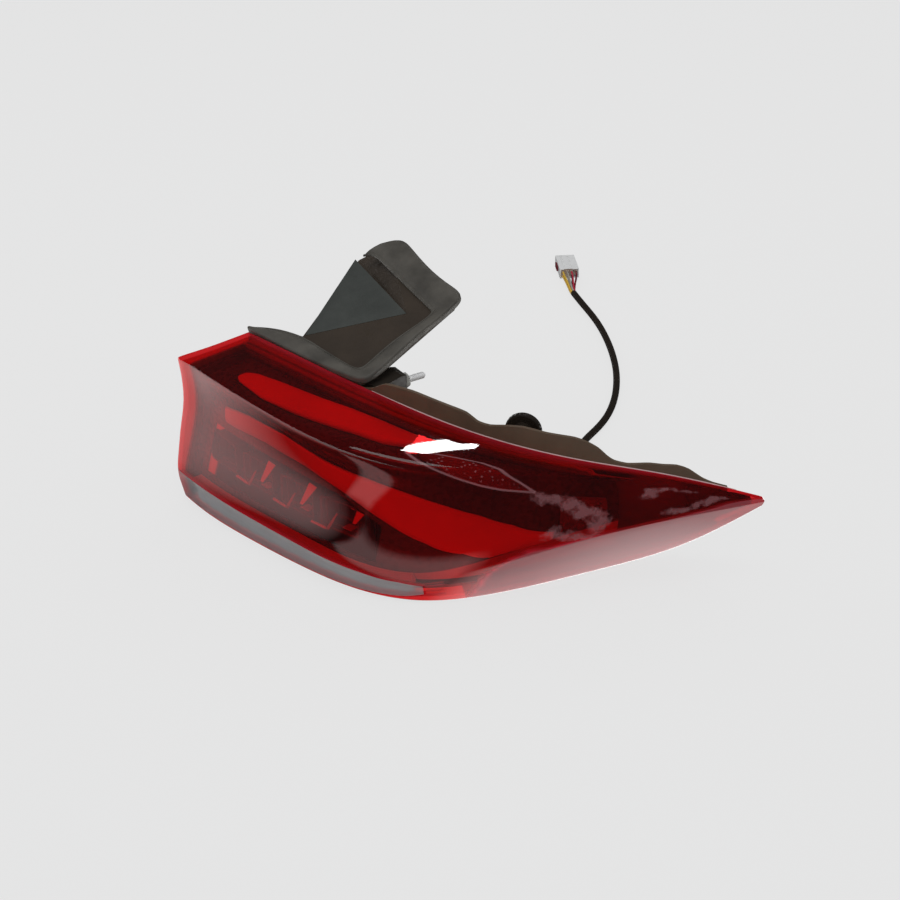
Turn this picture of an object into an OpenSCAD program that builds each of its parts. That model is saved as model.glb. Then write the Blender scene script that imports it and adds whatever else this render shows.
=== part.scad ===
// Outer tail light cluster, right-hand side of the car.
// Frame: +X outboard, +Y towards the front of the car, +Z up, mm. The lamp lies on its underside on Z = 0.

/* [Overall] */
// Width of the lens across the car
lens_w = 375; // [320:1:430]
// Length of the lens along the car
lens_l = 354; // [300:1:410]
// Height of the lens at its inboard end
lens_h = 144; // [120:1:170]

/* [Walls] */
// Thickness of the outer lens
lens_t = 2.6; // [2:0.1:3.6]
// Thickness of the housing shell
wall_t = 3; // [2.4:0.1:4]
// Thickness of the inner bezel
bezel_t = 1.8; // [1.4:0.1:2.4]
// Depth of the bezel floor under the lens skin
bezel_d = 13.2; // [12:0.1:16]
// Running gap between pieces that seat on each other
gap = 0.2; // [0.1:0.05:0.3]

/* [Light guides] */
// Thickness of the two red light bars
bar_t = 4.6; // [3:0.1:6]
// Thickness of the flexible circuit strips
flex_t = 1.2; // [0.8:0.1:1.6]

/* [Reflector cups] */
// Pitch of the reflector cups along the lamp
cup_pitch = 50; // [44:1:52]
// Width of one cup
cup_w = 41; // [32:1:42]
// Height of one cup
cup_h = 30; // [24:1:32]
// Depth of one cup
cup_d = 20; // [14:1:24]

/* [Side extension] */
// Length of the extension plate across the car
ext_w = 145; // [125:1:155]
// Reach of the extension plate towards the front
ext_l = 158; // [130:1:175]
// Rise of the extension plate, degrees
ext_tilt = 17; // [10:1:24]
// Thickness of the plate
ext_t = 2.5; // [2:0.1:3.5]
// Height of the rubber lip on its rim
lip_h = 5.5; // [4:0.5:8]

/* [Fixings] */
// Thread diameter of the mounting studs
stud_dia = 6; // [5:0.5:8]
// Free length of a stud beyond its nut
stud_len = 17.5; // [14:0.5:24]
// Width of the stud nuts across their flats
nut_af = 12; // [10:0.5:14]
// Thickness of the stud nuts
nut_h = 5.4; // [4:0.1:7]
// Diameter of the locating pin
pin_dia = 10; // [8:0.5:12]
// Length of the locating pin
pin_len = 18; // [14:0.5:22]

/* [Harness] */
// Diameter of the sheathed cable
cable_dia = 6.6; // [5:0.1:8]
// Diameter of one wire
wire_dia = 1.9; // [1.4:0.1:2.2]
// Diameter of the round service cap
cap_dia = 31; // [26:1:34]

/* [Hidden] */
e = 0.01;
sx = lens_w / 375;
sy = lens_l / 354;
sz = lens_h / 144;
deep = 20;
origin_shift = [-170.91 * sx, -177.04 * sy, 0];

// Character lines of the lens, from the inboard end round the corner to the forward tip
rim_line = scaled([[0,76,144],[45,84,146],[100,98,144],[160,120,138],[215,145,131],
    [262,180,122],[300,222,113],[325,266,103],[347,308,90],[372,350,75]]);
shoulder_line = scaled([[0,9,138],[45,12,139],[100,18,140],[160,28,140],[215,50,137],
    [262,98,128],[292,160,116],[318,222,104],[342,286,91],[374,352,74]]);
waist_line = scaled([[0,16,98],[45,19,98],[100,26,98],[160,38,98],[215,56,97],
    [266,98,92],[296,160,84],[321,225,78],[344,288,74],[374,353,72]]);
belt_line = scaled([[0,-3,30],[45,-1,31],[100,7,32],[160,20,33],[215,38,28],
    [266,86,18],[296,160,38],[319,225,50],[343,292,58],[375,354,70]]);
sill_line = scaled([[0,4,0],[45,6,0],[100,18,0],[160,34,0],[215,53,0],
    [265,90,0],[287,160,0],[302,232,3],[326,310,11],[372,354,64]]);
// Bottom back edge of the housing, with one more point beside the inboard end
keel_line = scaled([[0,92,0],[4,93,0],[45,100,0],[100,112,0],[155,132,0],[205,154,0],
    [240,178,0],[262,212,2],[288,256,8],[318,316,18],[366,350,66]]);
shoulder_r = [3,3,4,10,22,30,30,30,24,8];
belt_r = [22,22,22,20,14,8,6,5,5,4];
sill_r = [4,4,4,4,4,4,4,4,4,2];
lip_w = [20,20,20,20,20,20,20,20,12,2];

function scaled(line) = [for (p = line) [p[0] * sx, p[1] * sy, p[2] * sz]];
function unit(v) = v / max(norm(v), 1e-6);
function flat(v) = [v[0], v[1], 0];
function mix(a, b, t) = a + (b - a) * t;
function step(a, i) = a[min(i + 1, len(a) - 1)] - a[max(i - 1, 0)];

// Cubic B-spline through both end points
function padded(p) = concat([2 * p[0] - p[1]], p, [2 * p[len(p) - 1] - p[len(p) - 2]]);
function blend(p, i, f) = p[i] * pow(1 - f, 3) / 6 + p[i + 1] * (3 * f * f * f - 6 * f * f + 4) / 6
    + p[i + 2] * (-3 * f * f * f + 3 * f * f + 3 * f + 1) / 6 + p[i + 3] * f * f * f / 6;
function spline(p, s) = let(n = len(p) - 2, c = max(0, min(n - 1, s)), i = min(n - 2, floor(c)))
    blend(p, i, c - i);

// The five character lines, moved in by d along the skin's own normals
lines = [rim_line, shoulder_line, waist_line, belt_line, sill_line];
function down(k, r) = lines[min(r + 1, 4)][k] - lines[max(r - 1, 0)][k];
function skin_normal(k, r) = unit(cross(down(k, r), step(lines[r], k)));
function bend(k, r) = let(a = unit(lines[r - 1][k] - lines[r][k]), b = unit(lines[r + 1][k] - lines[r][k]))
    1 / max(0.6, sin(acos(max(-1, min(1, a * b))) / 2));
function rim_up(k) = let(t = step(rim_line, k)) unit(cross(t, unit([-t[1], t[0], 0])));
function inset(k, r, d) = r == 0 ? lines[r][k] - d * rim_up(k)
    : r == 4 ? lines[r][k] - 1.4 * d * unit(skin_normal(k, r) + [0, 0, -1])
    : lines[r][k] - d * bend(k, r) * skin_normal(k, r);
function toward(a, b, s) = a + unit(b - a) * min(s, 0.45 * norm(b - a));
// One station of the control net: eleven points from the top rim to the sill, with tight rows at the creases
function ring(k, d) = let(t = inset(k, 0, d), c = inset(k, 1, d), w = inset(k, 2, d),
    l = inset(k, 3, d), b = inset(k, 4, d), cs = max(shoulder_r[k], d), ls = max(belt_r[k], d / 2))
    [t, mix(t, c, 0.5), toward(c, t, cs), c, toward(c, w, cs), w, toward(l, w, ls), l, toward(l, b, ls),
        toward(b, l, sill_r[k]), b];
stations = len(rim_line);
net_skin = padded([for (k = [0 : stations - 1]) ring(k, 0)]);
net_deep = padded([for (k = [0 : stations - 1]) ring(k, deep)]);

// A point of the lamp: station s, row r, depth d under the skin
function under_skin(s, r, d) = let(a = spline(padded(spline(net_skin, s)), r),
    b = spline(padded(spline(net_deep, s)), r))
    mix(a, b, d / deep);
function sheet_at(ss, rs, ds) = [for (i = [0 : len(ss) - 1]) let(a = padded(spline(net_skin, ss[i])),
    b = padded(spline(net_deep, ss[i])))
    [for (j = [0 : len(rs[i]) - 1]) mix(spline(a, rs[i][j]), spline(b, rs[i][j]), ds[i][j] / deep)]];

// The lens net adds the inboard end wall before station 0 and the underside lip after the sill
function inward(k) = let(t = unit(flat(step(sill_line, k)))) [-t[1], t[0], 0];
function lip_end(k, d) = k == 0 ? [12, 24 * sy, d] : sill_line[k] + inward(k) * lip_w[k] + [0, 0, d];
function lens_ring(k, d) = let(q = ring(k, d), b = q[10], u = lip_end(k, d))
    concat(q, [toward(b, u, sill_r[k]), u]);
function end_ring(d) = let(q = lens_ring(0, d)) [for (j = [0 : 12]) j < 11 ? [d, q[j][1], q[j][2]]
    : j == 11 ? [3 + d, 8 * sy, d] : q[j]];
function mouth_y(z) = (30 + 47 * z / lens_h) * sy;
function wall_ring(q) = [for (j = [0 : 12]) [q[j][0], mouth_y(j < 10 ? q[j][2] : 0), q[j][2]]];
function lens_net(d) = let(q = end_ring(d), w = wall_ring(q), n = lens_ring(1, d))
    concat([w, (q + w) / 2, [for (j = [0 : 12]) toward(q[j], w[j], 4)], q,
        [for (j = [0 : 12]) toward(q[j], n[j], 4)]],
        [for (k = [1 : stations - 1]) lens_ring(k, d)]);
lens_out = padded(lens_net(0));
lens_in = padded(lens_net(lens_t));
function lens_sheet(net, ss, rs) = [for (i = [0 : len(ss) - 1]) let(a = padded(spline(net, ss[i])))
    [for (j = [0 : len(rs[i]) - 1]) spline(a, rs[i][j])]];

function ramp(a, b, n) = [for (i = [0 : n]) a + (b - a) * i / n];
function same(v, n) = [for (i = [0 : n - 1]) v];

// Closed shell between an outer and an inner sheet of points; skip lists cell ranges left open as windows
module shell(outer, inner, skip = []) {
    n = len(outer);
    m = len(outer[0]);
    function on(i, j) = i >= 0 && i < n - 1 && j >= 0 && j < m - 1
        && len([for (h = skip) if (i >= h[0] && i < h[1] && j >= h[2] && j < h[3]) 1]) == 0;
    function quad(a, b, c, d) = [[a, b, c], [a, c, d]];
    w = n * m;
    faces = [for (i = [0 : n - 2]) for (j = [0 : m - 2]) if (on(i, j))
        let(a = i * m + j, b = a + m, c = b + 1, d = a + 1)
        each concat([[a, b, c], [a, c, d], [w + a, w + c, w + b], [w + a, w + d, w + c]],
            on(i, j - 1) ? [] : quad(b, a, w + a, w + b),
            on(i + 1, j) ? [] : quad(c, b, w + b, w + c),
            on(i, j + 1) ? [] : quad(d, c, w + c, w + d),
            on(i - 1, j) ? [] : quad(a, d, w + d, w + a))];
    polyhedron(points = concat([for (q = outer) each q], [for (q = inner) each q]), faces = faces,
        convexity = 8);
}

// Closed tube through rings of points, with flat ends
module tube(rings) {
    n = len(rings);
    m = len(rings[0]);
    side = [for (i = [0 : n - 2]) for (j = [0 : m - 1])
        let(a = i * m + j, b = i * m + (j + 1) % m, c = a + m, d = b + m) each [[a, b, d], [a, d, c]]];
    ends = [[for (j = [m - 1 : -1 : 0]) j], [for (j = [0 : m - 1]) (n - 1) * m + j]];
    polyhedron(points = [for (q = rings) each q], faces = concat(side, ends), convexity = 8);
}

// Lens: the clear strip is a window of the red moulding
strip_first = 3.4;
strip_last = 9;
strip_rows = [[3,7.1,9.4],[8.2,7.05,9.3],[8.7,7.25,9],[9,7.7,8.6]];
function strip_top(i) = lookup(i, [for (q = strip_rows) [q[0], q[1]]]);
function strip_low(i) = lookup(i, [for (q = strip_rows) [q[0], q[2]]]);
lens_cols = concat([0, 1, 2, 2.5, 3], ramp(strip_first, 4.2, 2), ramp(4.5, 8.6, 13), [8.8, strip_last],
    ramp(9.35, 12.6, 11), [13]);
strip_i0 = 5;
strip_i1 = 5 + 3 + 14 + 1;
lens_r = [for (i = lens_cols) concat([0, 0.5, 1, 1.6, 2.1, 2.6, 3, 3.4, 3.9, 4.6, 5.3, 6, 6.6, 7 - 0.02],
    [for (t = [0 : 0.25 : 1]) mix(strip_top(i), strip_low(i), t)], [10, 10.5, 11, 12])];
strip_j0 = 14;
strip_j1 = 18;
module lens_red() {
    color([0.6, 0.03, 0.04, 0.6])
    shell(lens_sheet(lens_out, lens_cols, lens_r), lens_sheet(lens_in, lens_cols, lens_r),
        [[strip_i0, strip_i1, strip_j0, strip_j1]]);
}
module lens_clear() {
    k = 0.03;
    cols = [for (i = [strip_i0 : strip_i1])
        i == strip_i0 ? lens_cols[i] + k : i == strip_i1 ? lens_cols[i] - k : lens_cols[i]];
    rows = [for (i = cols) [for (t = [0, 0.25, 0.5, 0.75, 1]) mix(strip_top(i) + k, strip_low(i) - k, t)]];
    color([0.8, 0.8, 0.8, 0.5])
    shell(lens_sheet(lens_out, cols, rows), lens_sheet(lens_in, cols, rows));
}

// Housing: closed bowl behind the lens, with a wavy fence above the rim
fence_tab = [[0,-4.3],[3,-4.9],[4,-6.2],[5,-6.2],[6,-4.3],[6.6,-1.8],[6.75,2],[6.95,12],[7.4,16.3],
    [8.27,16.1],[8.42,10.4],[8.61,10.4],[8.84,15],[9.1,18.4],[9.47,17.9],[9.87,19.3],[10.06,17.4],
    [10.25,13.2],[10.38,7.1],[10.49,3.8],[10.71,2.8],[11.1,7.1],[11.32,7.6],[11.56,10.1],[11.78,8.6],
    [12.01,2.4],[12.21,0.5],[12.7,0.3]];
bulge_tab = [[3,12],[5,14],[7,18],[9.5,18],[11,12],[12,4],[12.7,0]];
house_cols = concat([3, 4.3, 4.8, 5.4, 6, 6.5, 6.6, 6.75, 6.95, 7.15, 7.4, 7.7, 8, 8.27, 8.42, 8.61,
    8.84, 9.1, 9.3, 9.47, 9.67, 9.87],
    [10.06, 10.25, 10.38, 10.49, 10.71, 10.9, 11.1, 11.32, 11.56, 11.78, 12.01, 12.21, 12.45]);
keel_pad = padded(keel_line);
function rim_at(i) = spline(padded(spline(lens_out, i)), 0);
function lip_at(i) = spline(padded(spline(lens_out, i)), 12);
function back_dir(i) = let(t = unit(flat(rim_at(i + 0.15) - rim_at(i - 0.15)))) [-t[1], t[0], 0];
function lip_dir(i) = let(t = unit(flat(lip_at(i + 0.15) - lip_at(i - 0.15)))) [-t[1], t[0], 0];
function house_ring(i, t) = let(p = rim_at(i) + back_dir(i) * 0.3, n = back_dir(i),
    k = spline(keel_pad, i - 3), b = lookup(i, bulge_tab), f = lookup(i, fence_tab) * sz,
    drop = min(lookup(i, [[9.6, 12], [10.3, 5.5], [12.7, 4]]), (p[2] - k[2]) * 0.3), q = p - [0, 0, drop])
    [p + n * t + [0, 0, f], p + n * t - [0, 0, 0.6 * drop], q + n * t,
        mix(q, k, 0.14) + n * (b * 0.75 - wall_t + t), mix(q, k, 0.35) + n * (b - wall_t + t),
        mix(q, k, 0.65) + n * (b - wall_t + t), mix(q, k, 0.9) + n * (b * 0.7 - wall_t + t),
        k - n * (wall_t - t) + [0, 0, wall_t - t],
        lip_at(i) + lip_dir(i) * (i > 11.4 ? 1 : 0.6) + [0, 0, wall_t - t]];
function on_wall(q, x) = [for (j = [0 : 8]) j < 8 ? [x, max(q[j][1], mouth_y(q[j][2]) + 1.2), q[j][2]]
    : [12.3, mouth_y(0) + 0.3, q[j][2]]];
function at_mouth(q, x) = [for (j = [0 : 8]) j < 8 ? [x, mouth_y(q[j][2]) + 0.3, q[j][2]]
    : [5, mouth_y(0) + 1, q[j][2]]];
// Outside of the housing wall at a height, and where a round foot of radius r just stands clear of it
function wall_at(i, z) = let(q = house_ring(i, wall_t),
    v = max(0, min(6.999, lookup(-z, [for (j = [0 : 7]) [-q[j][2], j]]))),
    f = floor(v)) mix(q[f], q[f + 1], v - f);
function stand(i, z, r, n) = let(c = wall_at(i, z),
    k = r / (norm(wall_at(i + 0.1, z) - wall_at(i - 0.1, z)) * 5))
    c + n * (max([for (a = [0 : 30 : 330]) (wall_at(i + k * cos(a), z + r * sin(a)) - c) * n]) + gap);
// Block whose front follows the wall from column i0 to i1, with a flat back at y
module wall_pad(i0, i1, z0, z1, x0, x1, y) {
    front = [for (i = ramp(i0, i1, 4))
        let(n = back_dir(i), m = wall_at(i, z0), f = max([for (z = ramp(z0, z1, 6)) wall_at(i, z) * n]))
        m + n * (f - m * n + gap + 0.1)];
    translate([0, 0, z0])
    linear_extrude(z1 - z0)
    polygon(concat([for (p = front) [p[0], p[1]]], [[x1, y], [x0, y]]));
}
module housing() {
    a = [for (i = house_cols) house_ring(i, wall_t)];
    b = [for (i = house_cols) house_ring(i, 0)];
    outer = concat([at_mouth(a[0], 0), on_wall(a[0], 0)], [for (i = [1 : len(a) - 1]) a[i]]);
    inner = concat([at_mouth(b[0], wall_t), on_wall(b[0], wall_t)], [for (i = [1 : len(b) - 1]) b[i]]);
    color([0.16, 0.13, 0.11])
    shell(inner, outer);
}

// Rows that bound the light bars, the cup window and the border, by station
upper_hi = [[0,0.95],[0.92,1.15],[1.1,0.92],[1.55,0.75],[2.3,0.55],[3,0.45],[3.6,0.36],[4.2,0.36],
    [9,0.6]];
upper_lo = [[0,1.9],[0.92,1.6],[1.1,1.85],[1.9,1.98],[2.7,1.75],[3.3,1.45],[3.75,1.15],[4.15,0.75],
    [9,1.2]];
lower_hi = [[0,4.65],[0.95,4.6],[1.7,4.25],[2.6,3.95],[3.35,4.3],[4.05,4.4],[4.6,4.65],[5.15,4.93],
    [5.6,5.2],[6,5.58],[6.4,6.2],[6.6,6.6],[9,6.6]];
lower_lo = [[0,5.12],[1.25,5.1],[2,5],[2.9,5.03],[3.7,5.2],[4.4,5.48],[4.95,5.75],[5.45,6.15],
    [5.75,6.85],[6.6,7.05],[9,7.05]];
function row(tab, s) = lookup(s, tab);
function border(s) = lookup(s, [[0,0.3],[2,0.22],[4,0.14],[9,0.12]]);

// Bezel: a tub stepped in from the border, with a window for the reflector cups
bezel_s = concat([0.14, 0.24, 0.28, 0.34, 0.38, 0.6, 0.85, 1.1], ramp(1.35, 4.35, 12), ramp(4.6, 6.6, 9),
    [6.85, 7.05, 7.2, 7.3]);
bezel_i0 = 5;
bezel_i1 = 20;
third = [0, 1 / 3, 2 / 3, 1];
function tub(j, s) = let(a = lookup(s, [[6,0.04],[6.35,0.35],[6.6,0.9],[7.3,1.5]]),
    b = a + border(s)) [a, b, b + 0.04, b + 0.09, b + 0.13][j];
function bezel_rows(s) = let(h = max(row(upper_hi, s), tub(4, s) + 0.05), l = max(row(upper_lo, s), h + 0.2),
    c = row(lower_hi, s), d = row(lower_lo, s), w = max(d + 0.12, 5.3))
    concat([for (j = [0 : 4]) tub(j, s)], [for (t = third) mix(h, l, t)],
        [for (t = third) mix(max(l + 0.15, 2.2), c - 0.15, t)], [for (t = third) mix(c, d, t)],
        w < 6.3 ? [w, mix(w, 6.72, 0.5), 6.72, 7.2]
            : [mix(d, 7.2, 0.25), mix(d, 7.2, 0.5), mix(d, 7.2, 0.75), 7.2],
        [7.6, 8.2, 8.8, 9.25, 10]);
bezel_w0 = 17;
bezel_n = 26;
function tub_depth(j) = [4.2, 4.2, 8.5, 8.5, bezel_d][min(j, 4)];
function rim_depth(s, j) = j > 6 ? bezel_d : lookup(s, [[6.2, bezel_d], [6.6, 8.5], [7.3, 5]]);
module bezel() {
    rows = [for (s = bezel_s) bezel_rows(s)];
    dep = [for (i = [0 : len(bezel_s) - 1])
        [for (j = [0 : bezel_n - 1]) min(tub_depth(i), tub_depth(j), rim_depth(bezel_s[i], j))]];
    front = sheet_at(bezel_s, rows, dep);
    back = sheet_at(bezel_s, rows, [for (q = dep) [for (d = q) d + bezel_t]]);
    foot = [for (i = [0 : len(bezel_s) - 1])
        let(n = lip_dir(bezel_s[i] + 4), p = front[i][bezel_n - 1],
            f = lookup(bezel_s[i], [[5.8,14],[6.8,5],[7.8,2]]))
        [p[0] + n[0] * f, p[1] + n[1] * f, max(wall_t + gap, p[2] - 9)]];
    foot_b = [for (i = [0 : len(bezel_s) - 1]) foot[i] + lip_dir(bezel_s[i] + 4) * 1.4 + [0, 0, 1.6]];
    color([0.13, 0.03, 0.03])
    shell([for (i = [0 : len(front) - 1]) concat(front[i], [foot[i]])],
        [for (i = [0 : len(back) - 1]) concat(back[i], [foot_b[i]])],
        [[bezel_i0, bezel_i1, bezel_w0, bezel_w0 + 2]]);
}
// Stations of a piece that seats on the bezel: the bezel's own, so that both follow the same facets
function seated(a, b) = concat([a, a + 0.05], [for (s = bezel_s) if (s > a + 0.08 && s < b - 0.08) s],
    [b - 0.05, b]);

// Light bars: crowned red guides seated on the bezel floor
module bar(ss, hi, lo) {
    n = len(ss);
    prof = [0, 0.1, 1 / 3, 2 / 3, 0.9, 1];
    crown = [0.25, 0.85, 1, 1, 0.85, 0.25];
    rows = [for (s = ss) [for (t = prof) mix(row(hi, s), row(lo, s), t)]];
    top = [for (i = [0 : n - 1])
        [for (c = crown) bezel_d - 1.5 * gap - bar_t * c * [0.3, 0.85, 1][min(i, n - 1 - i, 2)]]];
    shell(sheet_at(ss, rows, top), sheet_at(ss, rows, same(same(bezel_d - 1.5 * gap, 6), n)));
}
module upper_light_bar() {
    color([0.75, 0.05, 0.05])
    bar(seated(0.92, 4.1), upper_hi, upper_lo);
}
module lower_light_bar() {
    color([0.75, 0.05, 0.05])
    bar(seated(0.95, 6.5), lower_hi, lower_lo);
}
module flex(ss, hi, lo) {
    rows = [for (s = ss) [for (t = third) mix(row(hi, s), row(lo, s), t)]];
    shell(sheet_at(ss, rows, same(same(bezel_d + bezel_t + gap, 4), len(ss))),
        sheet_at(ss, rows, same(same(bezel_d + bezel_t + gap + flex_t, 4), len(ss))));
}
module upper_circuit() {
    color([0.1, 0.35, 0.15])
    flex([for (s = bezel_s) if (s > 1 && s < 4) s], upper_hi, upper_lo);
}
module lower_circuit() {
    color([0.1, 0.35, 0.15])
    flex([for (s = bezel_s) if (s > 1 && s < 5.3) s], lower_hi, lower_lo);
}

// Grey guide behind the clear strip, grooved along its length
module strip_guide() {
    ss = seated(0.45, 4.85);
    rows = [for (s = ss) [7.2, 7.6, 8, 8.2, 8.4, 8.8, 9.25]];
    top = [for (s = ss) [9, 7, 7, 10, 7, 7, 9]];
    color([0.62, 0.63, 0.63])
    shell(sheet_at(ss, rows, top), sheet_at(ss, rows, same(same(bezel_d - gap, 7), len(ss))));
}

// Leaf-shaped side reflex over the shoulder
leaf_hi = [[4.35,1.33],[4.65,0.98],[5.18,1.55],[5.6,2.4],[5.93,3.12],[6.23,3.95]];
leaf_lo = [[4.35,1.43],[4.65,1.9],[4.9,2.4],[5.28,3.3],[5.58,3.85],[5.95,4.05],[6.23,4.05]];
module side_reflex() {
    ss = seated(4.4, 6.2);
    rows = [for (s = ss) [for (t = [0, 0.25, 0.5, 0.75, 1]) mix(row(leaf_hi, s), row(leaf_lo, s), t)]];
    color([0.55, 0.05, 0.06])
    shell(sheet_at(ss, rows, same([8.4, 7.2, 6.8, 7.2, 8.4], len(ss))),
        sheet_at(ss, rows, same(same(bezel_d - 2.5 * gap, 5), len(ss))));
}
// Stepped prism block that throws light sideways
module side_prism() {
    ss = [6.55, 6.68, 6.7, 6.83, 6.85, 6.98, 7, 7.13];
    lift = [8, 8, 6.5, 6.5, 8, 8, 9.5, 9.5];
    rows = [for (s = ss) [for (t = [0, 0.35, 0.37, 0.7, 0.72, 1]) mix(4.5 + (s - 6.5) * 0.5, 6.2, t)]];
    top = [for (i = [0 : 7]) [for (k = [0, 0, 1.5, 1.5, 0, 0]) lift[i] + k]];
    color([0.5, 0.1, 0.1])
    shell(sheet_at(ss, rows, top), sheet_at(ss, rows, same(same(bezel_d - 2 * gap, 6), len(ss))));
}

// Reflector cups: square dishes in a row that follows the lens
cup_z = 56 * sz;
function cup_s(i) = (i == 0 ? 0.82 : i == 1 ? 1.8 : i == 2 ? 2.7 : 3.6) * (cup_pitch / 50);
function cup_c(i) = let(p = under_skin(cup_s(i), 5.95, 17.5)) [p[0], p[1] + 2.4, cup_z];
function cup_yaw(i) = let(t = under_skin(cup_s(i) + 0.3, 5.95, 20) - under_skin(cup_s(i) - 0.3, 5.95, 20))
    atan2(t[1], t[0]);
module at_cup(i) {
    translate(cup_c(i))
    rotate([0, 0, cup_yaw(i)])
    children();
}
module cup(i) {
    w = cup_w / 2;
    h = cup_h / 2;
    t = 1.4;
    function frame(x, z, y) = [[-x, y, -z], [x, y, -z], [x, y, z], [-x, y, z]];
    color([0.75, 0.12, 0.12])
    at_cup(i)
    polyhedron(points = concat(frame(w, h, 0), frame(w - 12, h - 10, cup_d), frame(w - t, h - t, 0),
        frame(w - 12.6, h - 10.6, cup_d)),
        faces = [for (j = [0 : 3]) let(k = (j + 1) % 4)
            each [[j, k, 4 + k, 4 + j], [8 + j, 12 + j, 12 + k, 8 + k], [j, 8 + j, 8 + k, k],
            [4 + j, 4 + k, 12 + k, 12 + j]]]);
}
module cup_1() { cup(0); }
module cup_2() { cup(1); }
module cup_3() { cup(2); }
module cup_4() { cup(3); }
module board(i) {
    color([0.1, 0.35, 0.15])
    at_cup(i)
    translate([-15, cup_d + gap, -11])
    cube([30, 1.6, 22]);
}
module board_1() { board(0); }
module board_2() { board(1); }
module board_3() { board(2); }
module board_4() { board(3); }
module chip(i) {
    color([0.95, 0.9, 0.6])
    at_cup(i)
    translate([-2.5, cup_d + gap - 1.2, -2.5])
    cube([5, 1.2 - 0.1, 5]);
}
module led_1() { chip(0); }
module led_2() { chip(1); }
module led_3() { chip(2); }
module led_4() { chip(3); }

// Upright carrier plate behind the boards, bent once between each two of them
function carry_line(i, off) = let(a = cup_yaw(i), c = cup_c(i))
    [[c[0] - sin(a) * off, c[1] + cos(a) * off], [cos(a), sin(a)]];
function meet(p, q) = let(d = q[0] - p[0], k = p[1][0] * q[1][1] - p[1][1] * q[1][0])
    p[0] + p[1] * ((d[0] * q[1][1] - d[1] * q[1][0]) / k);
function carry_path(off) = let(l = [for (i = [0 : 3]) carry_line(i, off)])
    [l[0][0] - l[0][1] * 20, meet(l[0], l[1]), meet(l[1], l[2]), meet(l[2], l[3]), l[3][0] + l[3][1] * 20];
module led_carrier() {
    off = cup_d + 2 * gap + 1.6;
    front = carry_path(off);
    back = carry_path(off + 2.5);
    color([0.2, 0.2, 0.2])
    translate([0, 0, wall_t + gap])
    linear_extrude(cup_z + 16 - wall_t)
    polygon(concat(front, [for (i = [4 : -1 : 0]) back[i]]));
}

// Driver box on the housing floor
drv = [58, 24, 16];
module driver_box() {
    color([0.25, 0.25, 0.27])
    translate([135 * sx, 98 * sy, wall_t + gap])
    rotate([0, 0, 20])
    difference() {
        translate([-drv[0] / 2, -drv[1] / 2, 0])
        cube(drv);
        for (i = [-2 : 2])
            translate([i * 9 - 2, -drv[1] / 2 + 3, drv[2] - 3])
            cube([4, drv[1] - 6, 4]);
    }
}

// Side extension: a plate hinged on the rim line and rising forward, in its own axes
ext_o = [-3 * sx, 79 * sy, 144 * sz];
ext_u = unit([138 * sx, 34 * sy, -1 * sz]);
ext_f = unit(flat([-ext_u[1], ext_u[0], 0])) * cos(ext_tilt) + [0, 0, sin(ext_tilt)];
ext_g = unit(ext_f - ext_u * (ext_f * ext_u));
ext_n = cross(ext_u, ext_g);
ka = ext_w / 145;
kb = ext_l / 158;
function on_ext(q) = ext_o + ext_u * q[0] * ka + ext_g * q[1] * kb + ext_n * q[2];
module side_extension() {
    top = [[2, -2.4], [45, -4.4], [104, -4.2], [140, -2], [145, 12], [145, 112], [138, 126], [70, 146],
        [42, 155], [30, 150], [2, 134], [50, 17.7], [20, 12], [2, 2], [112.7, 86]];
    low = [for (i = [0 : 14]) i == 10 ? -17 : 0];
    p = concat([for (i = [0 : 14]) on_ext([top[i][0], top[i][1], low[i]])],
        [for (i = [0 : 14]) on_ext([top[i][0], top[i][1], low[i] - ext_t])]);
    tri = [[0, 1, 12], [0, 12, 13], [1, 11, 12], [1, 2, 11], [2, 3, 14], [2, 14, 11], [3, 4, 14],
        [4, 5, 14], [5, 6, 14], [6, 7, 14], [7, 8, 14], [8, 9, 14], [9, 10, 14], [10, 11, 14]];
    color([0.2, 0.17, 0.15])
    polyhedron(points = p, faces = concat([for (f = tri) [f[0], f[2], f[1]]],
        [for (f = tri) [f[0] + 15, f[1] + 15, f[2] + 15]],
        [for (i = [0 : 13]) let(b = (i + 1) % 14) each [[i, b, b + 15], [i, b + 15, i + 15]]]));
}
// Rubber lip: inner and outer edge of the rim, in the axes of the plate
lip_inner = [[0.5,2.4],[21,12.8],[51,17.5],[77,13.6],[106,10.4],[123,9],[128.5,12],[128.3,26],[127.5,46],
    [130,65],[132.5,80],[134,92],[132,98.5],[125,100.5],[102.5,107.6],[76,116.6],[50,125.2],[33,131],
    [27,130.5],[21,126]];
lip_outer = [[0.8,-2.2],[27,-3.4],[62,-4.4],[87,-4.4],[115,-3.8],[134,-2.6],[145,0],[147,14],[146,39],
    [145,65],[146.5,86],[147.5,112],[144.5,124],[137,129],[122,131.5],[99,137],[70,148],[49,157.5],
    [38,158],[29,146]];
module extension_lip() {
    i_pad = padded(lip_inner);
    o_pad = padded(lip_outer);
    color([0.12, 0.12, 0.12])
    tube([for (s = ramp(0, 19, 38)) let(a = spline(i_pad, s), b = spline(o_pad, s))
        [for (q = [[0, 0.1], [0, 1.6], [0.22, 3.4], [0.5, 4.4], [0.8, lip_h], [1, 3.6], [1, 0.1]])
            let(c = mix(a, b, q[0])) on_ext([c[0], c[1], q[1]])]]);
}
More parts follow.
